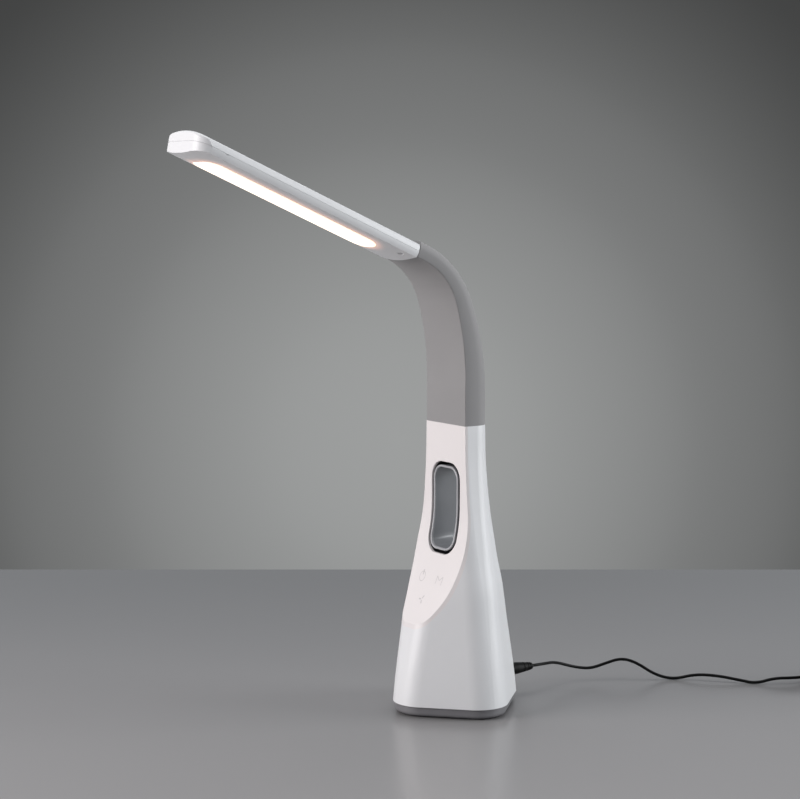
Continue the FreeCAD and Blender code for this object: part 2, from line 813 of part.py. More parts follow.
def across(lean):
    """The direction from the neck's flat front to its back."""
    return Vector(0, cos(lean), sin(lean))


def along(lean):
    """The direction in which the neck runs on."""
    return Vector(0, -sin(lean), cos(lean))


def neck_outline(place, inset):
    """The neck's section at a station: flat front, straight sides, rounded back corners."""
    middle, lean = station(place)
    depth = thickness(place)
    corner = REAR_CORNER_SHARE * depth - inset
    half = size("neck_width") / 2 - inset
    front = -depth / 2 + inset
    rear = depth / 2 - inset

    def at(x, y):
        return middle + X_AXIS * x + across(lean) * y

    slant = corner * (1 - HALF_TURN_SHARE)
    edges = [
        line(at(-half, front), at(half, front)),
        line(at(half, front), at(half, rear - corner)),
        arc(at(half, rear - corner), at(half - slant, rear - slant), at(half - corner, rear)),
        line(at(half - corner, rear), at(-half + corner, rear)),
        arc(at(-half + corner, rear), at(-half + slant, rear - slant), at(-half, rear - corner)),
        line(at(-half, rear - corner), at(-half, front)),
    ]
    return Part.Wire(edges)


def places_between(low, high, pitch):
    """Evenly spaced places along the neck, both ends included."""
    steps = max(2, int(round((high - low) / pitch)))
    return [blend(low, high, index / steps) for index in range(steps + 1)]


def neck_loft(low, high, inset):
    """A length of the neck's form."""
    places = places_between(low, high, size("hinge_pitch") / 4)
    return Part.makeLoft([neck_outline(place, inset) for place in places], True, False)


def tube_loft(low, high, x, radius):
    """A length of one gooseneck tube."""
    wires = []
    for place in places_between(low, high, size("hinge_pitch") / 4):
        middle, lean = station(place)
        circle = Part.Circle(middle + X_AXIS * x, along(lean), radius)
        wires.append(Part.Wire([circle.toShape()]))
    return Part.makeLoft(wires, True, False)


def tube_spread():
    """The distance between the middle lines of the two gooseneck tubes."""
    return size("neck_width") * size("tube_spread_share")


def hinge_places():
    """The six places at which the gooseneck bends."""
    return [size("first_hinge") + index * size("hinge_pitch") for index in range(6)]


def make_neck():
    """Grey sleeve, ribs and gooseneck tubes, one length of each for every link of the neck."""
    cuts = [0] + hinge_places() + [neck_length() - size("neck_head_gap")]
    tube_gap = size("tube_end_gap")
    tube_lows = [-size("tube_sink")] + [place + tube_gap for place in hinge_places()]
    tube_highs = [place - tube_gap for place in hinge_places()] + [neck_length() + size("tube_tail")]
    skin = size("sleeve_skin")
    gap = size("rib_gap")
    radius = size("tube_diameter") / 2
    clamp_start = neck_length() - size("clamp_sink")
    for index in range(len(cuts) - 1):
        low = cuts[index]
        high = cuts[index + 1]
        sleeve = neck_loft(low, high, 0)
        sleeve = sleeve.cut(neck_loft(low - skin, high + skin, skin))
        shaped("neck_sleeve_%d" % index, largest(sleeve))
        tubes = [tube_loft(tube_lows[index], tube_highs[index], side * tube_spread() / 2, radius)
                 for side in (-1, 1)]
        shaped("gooseneck_%d" % index, Part.makeCompound(tubes))
        rib_low = low + gap
        rib_high = high - gap
        if index == len(cuts) - 2:
            rib_high = clamp_start - size("seat_gap")
        rib = neck_loft(rib_low, rib_high, skin + size("soft_gap"))
        for side in (-1, 1):
            rib = rib.cut(tube_loft(rib_low - gap, rib_high + gap, side * tube_spread() / 2,
                                    radius + size("seat_gap")))
        shaped("neck_rib_%d" % index, largest(rib))


def make_neck_socket():
    """The block in the tower's mouth that grips the lower ends of the gooseneck tubes."""
    top = size("tower_top")
    low = top - size("socket_height")
    block = tower_form(size("shell_wall") + size("seat_gap"), size("tower_foot"), top)
    reach = size("base_reach")
    slab = Part.makeBox(2 * reach, 2 * reach, size("socket_height"), Vector(-reach, -reach, low))
    block = block.common(slab)
    block = block.cut(front_space(size("panel_wall") + size("seat_gap")))
    for side in (-1, 1):
        block = block.cut(tube_loft(-size("tube_sink") - size("seat_gap"), size("overrun"),
                                    side * tube_spread() / 2,
                                    size("tube_diameter") / 2 + size("shaft_gap")))
    shaped("neck_socket", largest(block))


# Head: built level, with its rear end at the origin, the neck's front line at z = 0 and its tip at -Y

EDGE_INSET_SHARES = (0.58, 0.89)
LIP_INSET_SHARES = (0.69, 0.86)

def head_place():
    """Where the head sits: its rear end closes the neck, its side edges carry on the neck's front."""
    middle, lean = station(neck_length())
    seat = middle - across(lean) * (thickness(neck_length()) / 2)
    return FreeCAD.Placement(seat, FreeCAD.Rotation(X_AXIS, degrees(lean) - 90))


def head_half(y):
    """Half the head's width at its widest level, at a distance before its rear end."""
    rear = size("neck_width") / 2 + size("head_lap")
    return blend(rear, size("head_tip_width") / 2, y / size("head_length"))


def head_section(y, inset):
    """The head's section in four arcs: the belly, two bowed side walls and a crowned top."""
    half = head_half(y)
    top = Vector(0, -y, size("head_height") - inset)
    edge = Vector(half - size("cover_draw") - inset * EDGE_INSET_SHARES[0], -y,
                  size("cover_edge") - inset * EDGE_INSET_SHARES[1])
    flank = Vector(half - inset, -y, size("flank_level"))
    lip = Vector(half - size("frame_draw") - inset * LIP_INSET_SHARES[0], -y,
                 inset * LIP_INSET_SHARES[1] - size("frame_edge"))
    belly = Vector(0, -y, inset - size("head_belly"))

    def mirror(point):
        return Vector(-point.x, point.y, point.z)

    return Part.Wire([arc(mirror(lip), belly, lip), arc(lip, flank, edge), arc(edge, top, mirror(edge)),
                      arc(mirror(edge), mirror(flank), mirror(lip))])


def tip_outline(level, inset):
    """The head's plan at one level: straight sides, round corners and a bowed tip that leans forward."""
    half = size("head_tip_width") / 2 + size("tip_stand") - inset
    corner = size("tip_corner") - inset
    bow = size("tip_bow")
    radius = (half * half + bow * bow) / (2 * bow)
    end = size("head_length") + bow - inset + level * tan(radians(size("tip_lean")))
    centre = Vector(0, radius - end, level)
    corner_y = centre.y - sqrt((radius - corner) ** 2 - (half - corner) ** 2)
    back = size("overrun")

    def touch(side):
        middle = Vector(side * (half - corner), corner_y, level)
        away = (middle - centre).normalize()
        halfway = (away + X_AXIS * side).normalize()
        return middle + away * corner, middle + halfway * corner, middle + X_AXIS * side * corner

    bow_right, round_right, side_right = touch(1)
    bow_left, round_left, side_left = touch(-1)
    rear_right = Vector(half, back, level)
    rear_left = Vector(-half, back, level)
    return Part.Wire([
        line(rear_left, rear_right), line(rear_right, side_right), arc(side_right, round_right, bow_right),
        arc(bow_right, Vector(0, -end, level), bow_left), arc(bow_left, round_left, side_left),
        line(side_left, rear_left),
    ])


def head_form(inset):
    """The head's outer form, or that form drawn in by a wall."""
    over = size("overrun")
    bar = Part.makeLoft([head_section(inset, inset), head_section(size("head_length") + 2 * over, inset)],
                        True, True)
    plan = Part.makeLoft([tip_outline(-over, inset), tip_outline(size("head_height") + over, inset)],
                         True, True)
    return bar.common(plan)


def soften(form):
    """Round the crown's edges, and bevel the edges of the rear end a little."""
    bevel = size("rear_bevel")
    high = size("cover_edge") - size("cover_round")
    crown_edges = [edge for edge in form.Edges if edge.BoundBox.ZMin > high and edge.BoundBox.YMin < -bevel]
    form = form.makeFillet(size("cover_round"), crown_edges)
    return form.makeChamfer(bevel, [edge for edge in form.Edges if edge.BoundBox.YMin > -bevel])


def belly_level(x):
    """The level of the belly at a distance from the middle, near the head's rear end."""
    reach = head_half(0) - size("frame_draw")
    rise = size("head_belly") - size("frame_edge")
    radius = (reach * reach + rise * rise) / (2 * rise)
    return radius - sqrt(radius * radius - x * x) - size("head_belly")


def window_bar(growth, low, height):
    """A slab with the light window's outline, grown on every side."""
    width = size("window_width") + 2 * growth
    length = size("window_length") + 2 * growth
    start = -size("window_rear") + growth
    slab = Part.makeBox(width, length, height, Vector(-width / 2, start - length, low))
    uprights = [edge for edge in slab.Edges if edge.BoundBox.ZLength > height / 2]
    return slab.makeFillet(size("window_corner") + growth, uprights)


def clamp_width():
    """The width of the bar that joins the gooseneck to the head."""
    return size("neck_width") - 2 * size("clamp_side")


def head_screw_x():
    """How far the head's two screws stand from its middle."""
    return clamp_width() / 2 - size("head_screw_edge")


def clamp_block(growth):
    """The flat bar through the head's rear wall that joins the gooseneck's upper end to the head."""
    width = clamp_width() + 2 * growth
    height = size("clamp_height") + 2 * growth
    depth = size("clamp_sink") + size("clamp_depth")
    middle = thickness(neck_length()) / 2
    return Part.makeBox(width, depth + 2 * growth, height,
                        Vector(-width / 2, -size("clamp_depth") - growth, middle - height / 2))


def make_head():
    """Head cover and frame, diffuser, light tray, LED board, heat plate, clamp and screws."""
    place = head_place()
    wall = size("head_wall")
    over = size("overrun")
    outer = soften(head_form(0))
    inner = head_form(wall)
    behind = Part.makeBox(size("head_tip_width"), 2 * over, 3 * over,
                          Vector(-size("head_tip_width") / 2, -wall - size("seat_gap"), -over))
    hollow = outer.cut(inner).cut(clamp_block(size("seat_gap")).common(behind))
    seam = size("head_seam")
    high = seam + size("seam_gap")
    reach = size("head_length") + 2 * over
    lower_space = Part.makeBox(2 * reach, 2 * reach, 2 * over, Vector(-reach, -reach, seam - 2 * over))
    upper_space = Part.makeBox(2 * reach, 2 * reach, 2 * over, Vector(-reach, -reach, high))
    lower = hollow.common(lower_space)
    for side in (-1, 1):
        x = side * head_half(size("notch_y"))
        lower = lower.cut(Part.makeBox(2 * size("notch_depth"), size("notch_width"), 2 * size("notch_height"),
                                       Vector(x - size("notch_depth"), -size("notch_y"),
                                              seam - size("notch_height"))))
    lower = lower.cut(window_bar(size("window_gap"), -over, over))
    gap = size("shaft_gap")
    belly = -size("head_belly")
    for side in (-1, 1):
        x = side * head_screw_x()
        y = -size("head_screw_y")
        lower = lower.fuse(inner.common(Part.makeCylinder(size("head_screw_recess") / 2 + wall / 2,
                                                          screw_seat() - belly, Vector(x, y, belly))))
        lower = lower.cut(Part.makeCylinder(size("head_screw_recess") / 2,
                                            screw_seat() - wall - belly + over, Vector(x, y, belly - over)))
        lower = lower.cut(Part.makeCylinder(size("head_screw") / 2 + gap, over * 2,
                                            Vector(x, y, belly - over)))
    shaped("head_frame", largest(lower), place)
    shaped("head_cover", largest(hollow.common(upper_space)), place)

    flange = size("diffuser_flange")
    tray_low = belly_level(size("window_width") / 2 + flange) + wall + size("flange_height")
    lens = window_bar(0, tray_low - over, over).common(head_form(-size("diffuser_proud")))
    shelf = window_bar(flange, tray_low - over, over).common(head_form(wall + size("seat_gap")))
    shaped("diffuser", lens.fuse(shelf).removeSplitter(), place)

    tray_height = size("tray_height")
    tray = window_bar(size("tray_wall"), tray_low, tray_height).cut(window_bar(0, tray_low - over, 3 * over))
    shaped("light_tray", tray, place)
    board_low = tray_low + tray_height
    shaped("led_board", window_bar(size("tray_wall"), board_low, size("led_board_height")), place)
    leds = []
    count = int(size("led_count"))
    pitch = (size("window_length") - size("window_corner")) / count
    width = size("led_width")
    for row in (-1, 1):
        for index in range(count):
            y = -size("window_rear") - size("window_corner") / 2 - pitch * (index + 0.5)
            leds.append(Part.makeBox(width, width, size("led_height"),
                                     Vector(row * size("led_row_gap") / 2 - width / 2, y - width / 2,
                                            board_low - size("led_height"))))
    shaped("leds", Part.makeCompound(leds), place)
    plate_low = board_low + size("led_board_height")
    shaped("heat_plate", window_bar(0, plate_low, size("heat_plate_height")), place)

    clamp = clamp_block(0).common(head_form(wall + size("seat_gap")).fuse(behind))
    half_spread = tube_spread() / 2
    middle = thickness(neck_length()) / 2
    for side in (-1, 1):
        clamp = clamp.cut(Part.makeCylinder(size("tube_diameter") / 2 + gap,
                                            size("clamp_sink") + size("tube_tail") + size("seat_gap"),
                                            Vector(side * half_spread, size("clamp_sink"), middle), -Y_AXIS))
        clamp = clamp.cut(Part.makeCylinder(size("head_screw") / 2 + gap, size("head_screw_reach") + gap,
                                            Vector(side * head_screw_x(), -size("head_screw_y"),
                                                   screw_seat())))
    shaped("neck_clamp", largest(clamp), place)
    screws = []
    for side in (-1, 1):
        at = Vector(side * head_screw_x(), -size("head_screw_y"),
                    screw_seat() - wall - size("head_screw_head_height"))
        head = Part.makeCylinder(size("head_screw_head") / 2, size("head_screw_head_height"), at)
        shank = Part.makeCylinder(size("head_screw") / 2,
                                  size("head_screw_head_height") + wall + size("head_screw_reach") - gap, at)
        screws.append(head.fuse(shank))
    shaped("head_screws", Part.makeCompound(screws), place)


def screw_seat():
    """The level of the clamp's underside, on which the frame's screw bosses end."""
    return thickness(neck_length()) / 2 - size("clamp_height") / 2


# Power lead: points of its route from the plug to the coil; it is stiff and touches the table in two places

LEAD_ROUTE = [
    (-14, 120.5, 20.5), (-12.5, 142, 13), (-8, 157.5, 10.5), (-2, 170, 15), (7.5, 181.5, 20.5),
    (16, 193, 16.5), (26, 207, 5), (35, 222.5, 0.4), (46.5, 238, 5.5), (62, 252, 5.5), (77.5, 264.5, 3),
    (89.5, 275, 0.7), (98, 289.5, 5.5), (107, 305, 5.5), (104.5, 321, 4),
]


def lead_points():
    """The route's points, between a straight run out of the plug and one into the coil."""
    start = Vector(0, value_of(JACK_FACE) + size("seat_gap") + size("plug_grip") + size("plug_taper"),
                   size("plug_height"))
    after = start + Y_AXIS * size("plug_run")
    entry, tangent = coil_point(0)
    before = entry - tangent * size("coil_entry_run")
    return [start, after] + [Vector(*point) for point in LEAD_ROUTE] + [before, entry]


def lead_path(spots):
    """Straight runs joined by tangent arcs, each as large as its two runs allow."""
    edges = []
    start = spots[0]
    radii = []
    for before, corner, after in zip(spots, spots[1:], spots[2:]):
        back = before - corner
        ahead = after - corner
        turn = pi - back.getAngle(ahead)
        shorter = min(back.Length, ahead.Length)
        trim = 0.45 * shorter
        radius = trim / tan(turn / 2)
        radii.append(radius)
        first = corner + back.normalize() * trim
        last = corner + ahead.normalize() * trim
        bisector = (back + ahead).normalize()
        centre = corner + bisector * sqrt(radius * radius + trim * trim)
        middle = centre - bisector * radius
        edges.append(line(start, first))
        edges.append(arc(first, middle, last))
        start = last
    edges.append(line(start, spots[-1]))
    return Part.Wire(edges), radii


def swept(wire, radius):
    """A round tube along a wire."""
    start = wire.Edges[0]
    tangent = start.tangentAt(start.FirstParameter)
    circle = Part.Wire([Part.Circle(start.valueAt(start.FirstParameter), tangent, radius).toShape()])
    tube = wire.makePipeShell([circle], True, False)
    return tube if tube.Volume > 0 else tube.reversed()


def coil_turns():
    """How many times the lead goes round: the layers and the half turns that climb between them."""
    return size("coil_layers") * size("coil_layer_turns") + (size("coil_layers") - 1) / 2


def coil_place(turn):
    """The coil's radius and level after a number of turns: in, up, out, up, in, up and out."""
    wide = size("coil_middle") + size("coil_pitch") * size("coil_layer_turns") / 2
    narrow = wide - size("coil_pitch") * size("coil_layer_turns")
    level = size("lead_diameter") / 2 + size("coil_lift")
    layer_turns = size("coil_layer_turns")
    rest = turn
    for layer in range(int(size("coil_layers"))):
        start, end = (wide, narrow) if layer % 2 == 0 else (narrow, wide)
        if rest <= layer_turns:
            return blend(start, end, rest / layer_turns), level
        rest -= layer_turns
        if layer == size("coil_layers") - 1:
            break
        if rest <= 0.5:
            share = 2 * rest
            return end, level + size("coil_rise") * share * share * (3 - 2 * share)
        rest -= 0.5
        level += size("coil_rise")
    return wide, level


def coil_spot(turn):
    """The coil's middle line after a number of turns."""
    radius, level = coil_place(turn)
    angle = radians(size("coil_entry")) + 2 * pi * turn
    return Vector(size("coil_x") + radius * cos(angle), size("coil_y") + radius * sin(angle), level)


def coil_point(turn):
    """A point of the coil's middle line and the level direction in which the lead passes it."""
    angle = radians(size("coil_entry")) + 2 * pi * turn
    return coil_spot(turn), Vector(-sin(angle), cos(angle), 0)


def climb_slope(turn):
    """How steeply the lead climbs at a place in the coil."""
    step = 0.001
    _, low = coil_place(turn - step)
    radius, high = coil_place(turn + step)
    return (high - low) / (4 * pi * step * radius)


def half_biarc(start, corner, end):
    """One arc of a biarc, tangent to both legs of its corner."""
    middle = (start + end) / 2
    share = (end - start).Length / 2 / (corner - start).Length
    return arc(start, middle + (corner - middle) * (share / (1 + share)), end)


def biarc(start, leaving, end, arriving):
    """Two arcs, tangent to each other and to both directions."""
    chord = end - start
    sum_of_ways = leaving + arriving
    square = sum_of_ways.dot(sum_of_ways) - 4
    product = -2 * chord.dot(sum_of_ways)
    constant = chord.dot(chord)
    reach = (-product - sqrt(product * product - 4 * square * constant)) / (2 * square)
    first = start + leaving * reach
    last = end - arriving * reach
    joint = (first + last) / 2
    return [half_biarc(start, first, joint), half_biarc(joint, last, end)]


def coil_stations():
    """Places a quarter turn apart along the coil, with those where a layer starts or ends."""
    places = [0.0]
    for layer in range(int(size("coil_layers"))):
        for length in (size("coil_layer_turns"), 0.5):
            if length == 0.5 and layer == size("coil_layers") - 1:
                continue
            start = places[-1]
            steps = int(round(4 * length))
            places += [start + length * (step + 1) / steps for step in range(steps)]
    return places


def coil_path():
    """The coil's middle line: biarcs between its stations and a short straight tail."""
    edges = []
    passed = []
    for place in coil_stations():
        spot, tangent = coil_point(place)
        tangent.z = climb_slope(place) if 0 < place < coil_turns() else 0
        passed.append((spot, tangent.normalize()))
    for (start, leaving), (end, arriving) in zip(passed, passed[1:]):
        edges += biarc(start, leaving, end, arriving)
    end, direction = passed[-1]
    edges.append(line(end, end + direction * size("coil_tail")))
    return Part.Wire(edges)


def least_gap(path, radius):
    """The least clear distance between turns, measured on points along the coil."""
    spots = path.discretize(Distance=size("lead_diameter"))
    apart = int(4 * size("coil_middle") / size("lead_diameter"))
    gaps = [(spots[i] - spots[k]).Length for i in range(len(spots)) for k in range(i + apart, len(spots))]
    return min(gaps) - 2 * radius


PLUG_GROOVE_SHARES = (0.35, 0.62, 0.76)


def make_lead():
    """Plug, lead, coil with its tie, and the mains adapter with its pins."""
    radius = size("lead_diameter") / 2
    length = "Sizes.plug_grip + Sizes.plug_taper"
    corners = [("0", "-Sizes.barrel_length"), ("Sizes.barrel_diameter / 2", "-Sizes.barrel_length"),
               ("Sizes.barrel_diameter / 2", "0"), ("Sizes.plug_diameter / 2", "0"),
               ("Sizes.plug_diameter / 2", "Sizes.plug_grip")]
    for share in PLUG_GROOVE_SHARES:
        surface = "(Sizes.plug_diameter + (Sizes.plug_tail - Sizes.plug_diameter) * %s) / 2" % share
        bottom = surface + " - Sizes.plug_groove"
        start = "Sizes.plug_grip + Sizes.plug_taper * %s" % share
        end = start + " + Sizes.plug_groove_width"
        corners += [(surface, start), (bottom, start), (bottom, end), (surface, end)]
    corners += [("Sizes.plug_tail / 2", length + " - Sizes.plug_end_round"),
                ("Sizes.plug_tail / 2 - Sizes.plug_end_round", length), ("0", length)]
    place = ("0", JACK_FACE + " + Sizes.seat_gap", "Sizes.plug_height")
    keep(turned("dc_plug", corners, place, FreeCAD.Rotation(X_AXIS, -90)), "dc_plug")

    path, radii = lead_path(lead_points())
    tube = swept(path, radius)
    print("lead bend radii", " ".join("%.1f" % value for value in radii))
    print("lead run length %.1f" % path.Length)
    print("lead tube volume %.1f against %.1f" % (tube.Volume, pi * radius * radius * path.Length))
    shaped("cord_run", tube)

    winding = coil_path()
    coil = swept(winding, radius)
    print("coil length %.1f in %.2f turns" % (winding.Length, coil_turns()))
    print("coil tube volume %.1f against %.1f" % (coil.Volume, pi * radius * radius * winding.Length))
    print("coil least gap %.2f" % least_gap(winding, radius))
    shaped("cord_coil", coil)
    make_tie()
    make_adapter()


def make_tie():
    """The strap round the coil's turns."""
    thick = size("tie_thickness")
    reach = size("coil_pitch") * size("coil_layer_turns") / 2 + size("lead_diameter") / 2
    reach += 2 * size("soft_gap")
    width = 2 * (reach + thick)
    height = size("coil_lift") + size("lead_diameter") + 3 * size("coil_rise") + size("seat_gap") + thick
    band = Part.makeBox(width, size("tie_width"), height,
                        Vector(size("coil_middle") - width / 2, -size("tie_width") / 2, 0))
    hollow = Part.makeBox(2 * reach, 2 * size("tie_width"), height - 2 * thick,
                          Vector(size("coil_middle") - reach, -size("tie_width"), thick))
    band = band.cut(hollow)
    place = FreeCAD.Placement(Vector(size("coil_x"), size("coil_y"), 0),
                              FreeCAD.Rotation(Z_AXIS, size("tie_angle")))
    shaped("coil_tie", band, place)


def make_adapter():
    """Mains adapter on the lead's end: body with its strain relief, and two round pins."""
    length = size("adapter_length")
    depth = size("adapter_depth")
    height = size("adapter_height")
    end, tangent = coil_point(coil_turns())
    start = end + tangent * size("coil_tail")
    relief_end = size("relief_length")
    body = Part.makeBox(length, depth, height, Vector(relief_end, -depth / 2, -start.z))
    body = body.makeFillet(size("adapter_corner"), [edge for edge in body.Edges])
    body = body.fuse(Part.makeCone(size("relief_tail") / 2, size("relief_diameter") / 2,
                                   relief_end + size("seat_gap"), Vector(0, 0, 0), X_AXIS))
    place = FreeCAD.Placement(start, FreeCAD.Rotation(Z_AXIS, degrees(atan2(tangent.y, tangent.x))))
    shaped("adapter_body", largest(body), place)
    pins = []
    for side in (-1, 1):
        x = relief_end + length / 2 + side * size("pin_spread") / 2
        pin = Part.makeCylinder(size("pin_diameter") / 2, size("pin_length"),
                                Vector(x, depth / 2, height / 2 - start.z), Y_AXIS)
        tip = [edge for edge in pin.Edges if edge.BoundBox.YMin > depth / 2 + size("pin_length") / 2]
        pins.append(pin.makeFillet(size("pin_diameter") * 0.3, tip))
    shaped("adapter_pins", Part.makeCompound(pins), place)


make_tower()
make_foot()
make_base_fittings()
make_fan()
make_touch_board()
make_neck_socket()
make_neck()
make_head()
make_lead()

doc.recompute()
for obj in doc.Objects:
    bad = [state for state in obj.State if state in ("Invalid", "Error")]
    if bad:
        raise RuntimeError("%s is %s" % (obj.Label, bad))
for obj in nodes:
    if obj.Shape.isNull() or not obj.Shape.isValid() or not obj.Shape.Solids:
        raise RuntimeError("%s has no valid solid" % obj.Label)
os.makedirs("parts", exist_ok=True)
for obj in nodes:
    obj.Shape.exportStep("parts/%s.step" % obj.Label)
print("%d nodes written" % len(nodes))
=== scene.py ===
import json
from math import atan2, cos, pi, radians, sin

import bmesh
import bpy
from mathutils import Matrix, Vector


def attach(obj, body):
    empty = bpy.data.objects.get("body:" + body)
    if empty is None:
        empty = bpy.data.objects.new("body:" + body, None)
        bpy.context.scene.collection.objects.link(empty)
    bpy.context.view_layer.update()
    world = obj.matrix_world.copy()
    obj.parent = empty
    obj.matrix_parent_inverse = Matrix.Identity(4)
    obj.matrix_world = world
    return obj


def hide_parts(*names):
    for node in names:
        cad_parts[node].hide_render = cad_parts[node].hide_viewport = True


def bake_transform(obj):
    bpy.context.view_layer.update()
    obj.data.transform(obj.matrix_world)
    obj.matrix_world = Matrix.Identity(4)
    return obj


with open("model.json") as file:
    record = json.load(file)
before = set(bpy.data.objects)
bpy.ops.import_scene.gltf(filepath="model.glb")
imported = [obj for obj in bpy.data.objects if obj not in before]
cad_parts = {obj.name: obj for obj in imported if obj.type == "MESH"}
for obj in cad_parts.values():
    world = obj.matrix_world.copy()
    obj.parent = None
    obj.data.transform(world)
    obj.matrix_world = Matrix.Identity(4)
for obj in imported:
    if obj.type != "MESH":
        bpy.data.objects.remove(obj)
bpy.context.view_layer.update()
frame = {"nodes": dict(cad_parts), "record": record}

# Desk lamp with a tower fan. Metres, in the frame of the solids: +Z up, the light head towards -Y.

MM = 0.001

# Camera

EYE = Vector((1.4311, -0.9890, 0.4529))
LOOK = Vector((-0.83420, 0.54173, -0.10315))
LENS = 90
SENSOR = 36

# Table, backdrop and lamps

TABLE_BEHIND = 0.64
TABLE_BEFORE = 0.5
TABLE_DEPTH = 4.0
TABLE_WIDTH = 6.0
# The table's far and near colours: the darker far end is painted shade, standing in for light falling off
# away from the lamps.
TABLE_FAR_PAINTED_SHADE = (0.150, 0.152, 0.154)
TABLE_NEAR = (0.298, 0.289, 0.288)
POOL_DROP = 0.02
POOL_GREYS = [(0.0, 0.345), (0.07, 0.31), (0.14, 0.22), (0.2, 0.145), (0.28, 0.06), (0.5, 0.07), (0.9, 0.2)]
POOL_TINT = (0.98, 1.0, 0.995)
ROOM_LIGHT = (0.92, 0.95, 1.0)
ROOM_STRENGTH = 0.36
SOFTBOXES = [
    ("key", (-0.45, -1.7, 0.70), (0, 0, 0.25), (1.0, 1.4), 26.5, (1.0, 0.965, 0.965)),
    ("rim", (1.0, 1.35, 0.65), (0, 0, 0.25), (0.9, 1.4), 21, (0.96, 0.985, 1.0)),
    ("top", (-0.2, 0.1, 1.9), (0, 0, 0.3), (1.2, 1.2), 12, (1.0, 1.0, 1.0)),
]

# Neck, as the solids have it

NECK_WIDTH = 59.8 * MM
NECK_FRONT = 12.2 * MM
NECK_REAR = 15.8 * MM
TOWER_TOP = 252.3 * MM
NECK_RISE = 33.0 * MM
NECK_ARCS = ((215.0 * MM, radians(20.5)), (73.3 * MM, radians(46.1)))
NECK_TAIL = 8.2 * MM
NECK_END_GAP = 0.4 * MM
THICKNESS_SHARES = [
    (-0.2, 1.0), (0.0, 1.0), (0.18, 1.005), (0.33, 0.945), (0.50, 0.83), (0.61, 0.735), (0.73, 0.625),
    (0.84, 0.56), (0.95, 0.525), (1.2, 0.52),
]
REAR_CORNER_SHARE = 0.537
FIRST_HINGE = 60.0 * MM
HINGE_PITCH = 19.0 * MM
LINKS = ["tower"] + ["neck_link_%d" % number for number in range(1, 6)] + ["head"]
BENDS = len(LINKS) - 1
SLEEVE_SKIN = 2.2 * MM
FRONT_EDGE = 0.9 * MM
FRONT_STEPS = 3
REAR_STEPS = 10
RING_PITCH = 2.1 * MM
FEWEST_RINGS = 4
CORNER_SHARE = 0.49

# Front panel, as the solids have it

SCOOP_TOP = 183.0 * MM
SCOOP_RADIUS = 168.0 * MM

# Touch marks

IN_FRONT = -70.0 * MM
MARK_LIFT = 0.05 * MM
RING_CORNERS = 48
BAR_STEPS = (8, 2)
STROKE = 0.55 * MM
KEY_SIDE = 13.0 * MM
KEY_LEVEL = 117.0 * MM
POWER_RADIUS = 4.3 * MM
POWER_STEM = (1.2 * MM, 5.6 * MM)
STEM_STROKE = 1.21 * MM
LETTER_SIDE = 4.0 * MM
LETTER_RISE = 3.4 * MM
FAN_MARK = (-0.8 * MM, 99.4 * MM)
BLADE_REACH = (0.8 * MM, 3.8 * MM)
BLADE_STROKE = 1.2 * MM

# Light window, as the solids have it

WINDOW_WIDTH = 38.6 * MM
WINDOW_LENGTH = 174.0 * MM
WINDOW_CORNER = 13.0 * MM
WINDOW_REAR = 30.2 * MM

# Power lead, as the solids have it

LEAD_THICKNESS = 2.8 * MM
LEAD_ROUTE = [
    (0, 83.6, 24.6), (0, 98.2, 24.6), (-14, 120.5, 20.5), (-12.5, 142, 13), (-8, 157.5, 10.5), (-2, 170, 15),
    (7.5, 181.5, 20.5), (16, 193, 16.5), (26, 207, 5), (35, 222.5, 0.4), (46.5, 238, 5.5), (62, 252, 5.5),
    (77.5, 264.5, 3), (89.5, 275, 0.7), (98, 289.5, 5.5), (107, 305, 5.5), (104.5, 321, 4),
    (117.16, 338.39, 2.5),
]
COIL_CENTRE = (112.0, 366.0)
COIL_ENTRY = radians(-34.0)
COIL_MIDDLE = 15.8
COIL_PITCH = 3.8
COIL_RISE = 3.3
COIL_LOW = 2.5
COIL_LAYERS = 4
LAYER_TURNS = 2.0625
POINTS_A_TURN = 16
ROUND_SHARE = 1 / 0.981
COIL_TAIL = 6.0
LEAD_STEPS = 6
LEAD_ROUNDNESS = 3


# Lead

def coil_place(turn):
    """The coil's radius and level after a number of turns: in, up, out, up, in, up and out."""
    wide = COIL_MIDDLE + COIL_PITCH * LAYER_TURNS / 2
    narrow = COIL_MIDDLE - COIL_PITCH * LAYER_TURNS / 2
    level = COIL_LOW
    for layer in range(COIL_LAYERS):
        start, end = (wide, narrow) if layer % 2 == 0 else (narrow, wide)
        if turn <= LAYER_TURNS or layer == COIL_LAYERS - 1:
            return start + (end - start) * min(turn / LAYER_TURNS, 1), level
        turn -= LAYER_TURNS
        if turn <= 0.5:
            share = 2 * turn
            return end, level + COIL_RISE * share * share * (3 - 2 * share)
        turn -= 0.5
        level += COIL_RISE


def lead_points():
    """The points that shape the lead, from the plug along the table and round the coil."""
    points = [Vector(point) for point in LEAD_ROUTE]
    turns = COIL_LAYERS * LAYER_TURNS + (COIL_LAYERS - 1) / 2
    steps = int(round(turns * POINTS_A_TURN))
    for step in range(steps + 1):
        turn = turns * step / steps
        radius, level = coil_place(turn)
        if 0 < step < steps:
            radius *= ROUND_SHARE
        angle = COIL_ENTRY + 2 * pi * turn
        points.append(Vector((COIL_CENTRE[0] + radius * cos(angle),
                              COIL_CENTRE[1] + radius * sin(angle), level)))
    way = Vector((-sin(angle), cos(angle), 0))
    points.append(points[-1] + way * COIL_TAIL)
    return [point * MM for point in points]


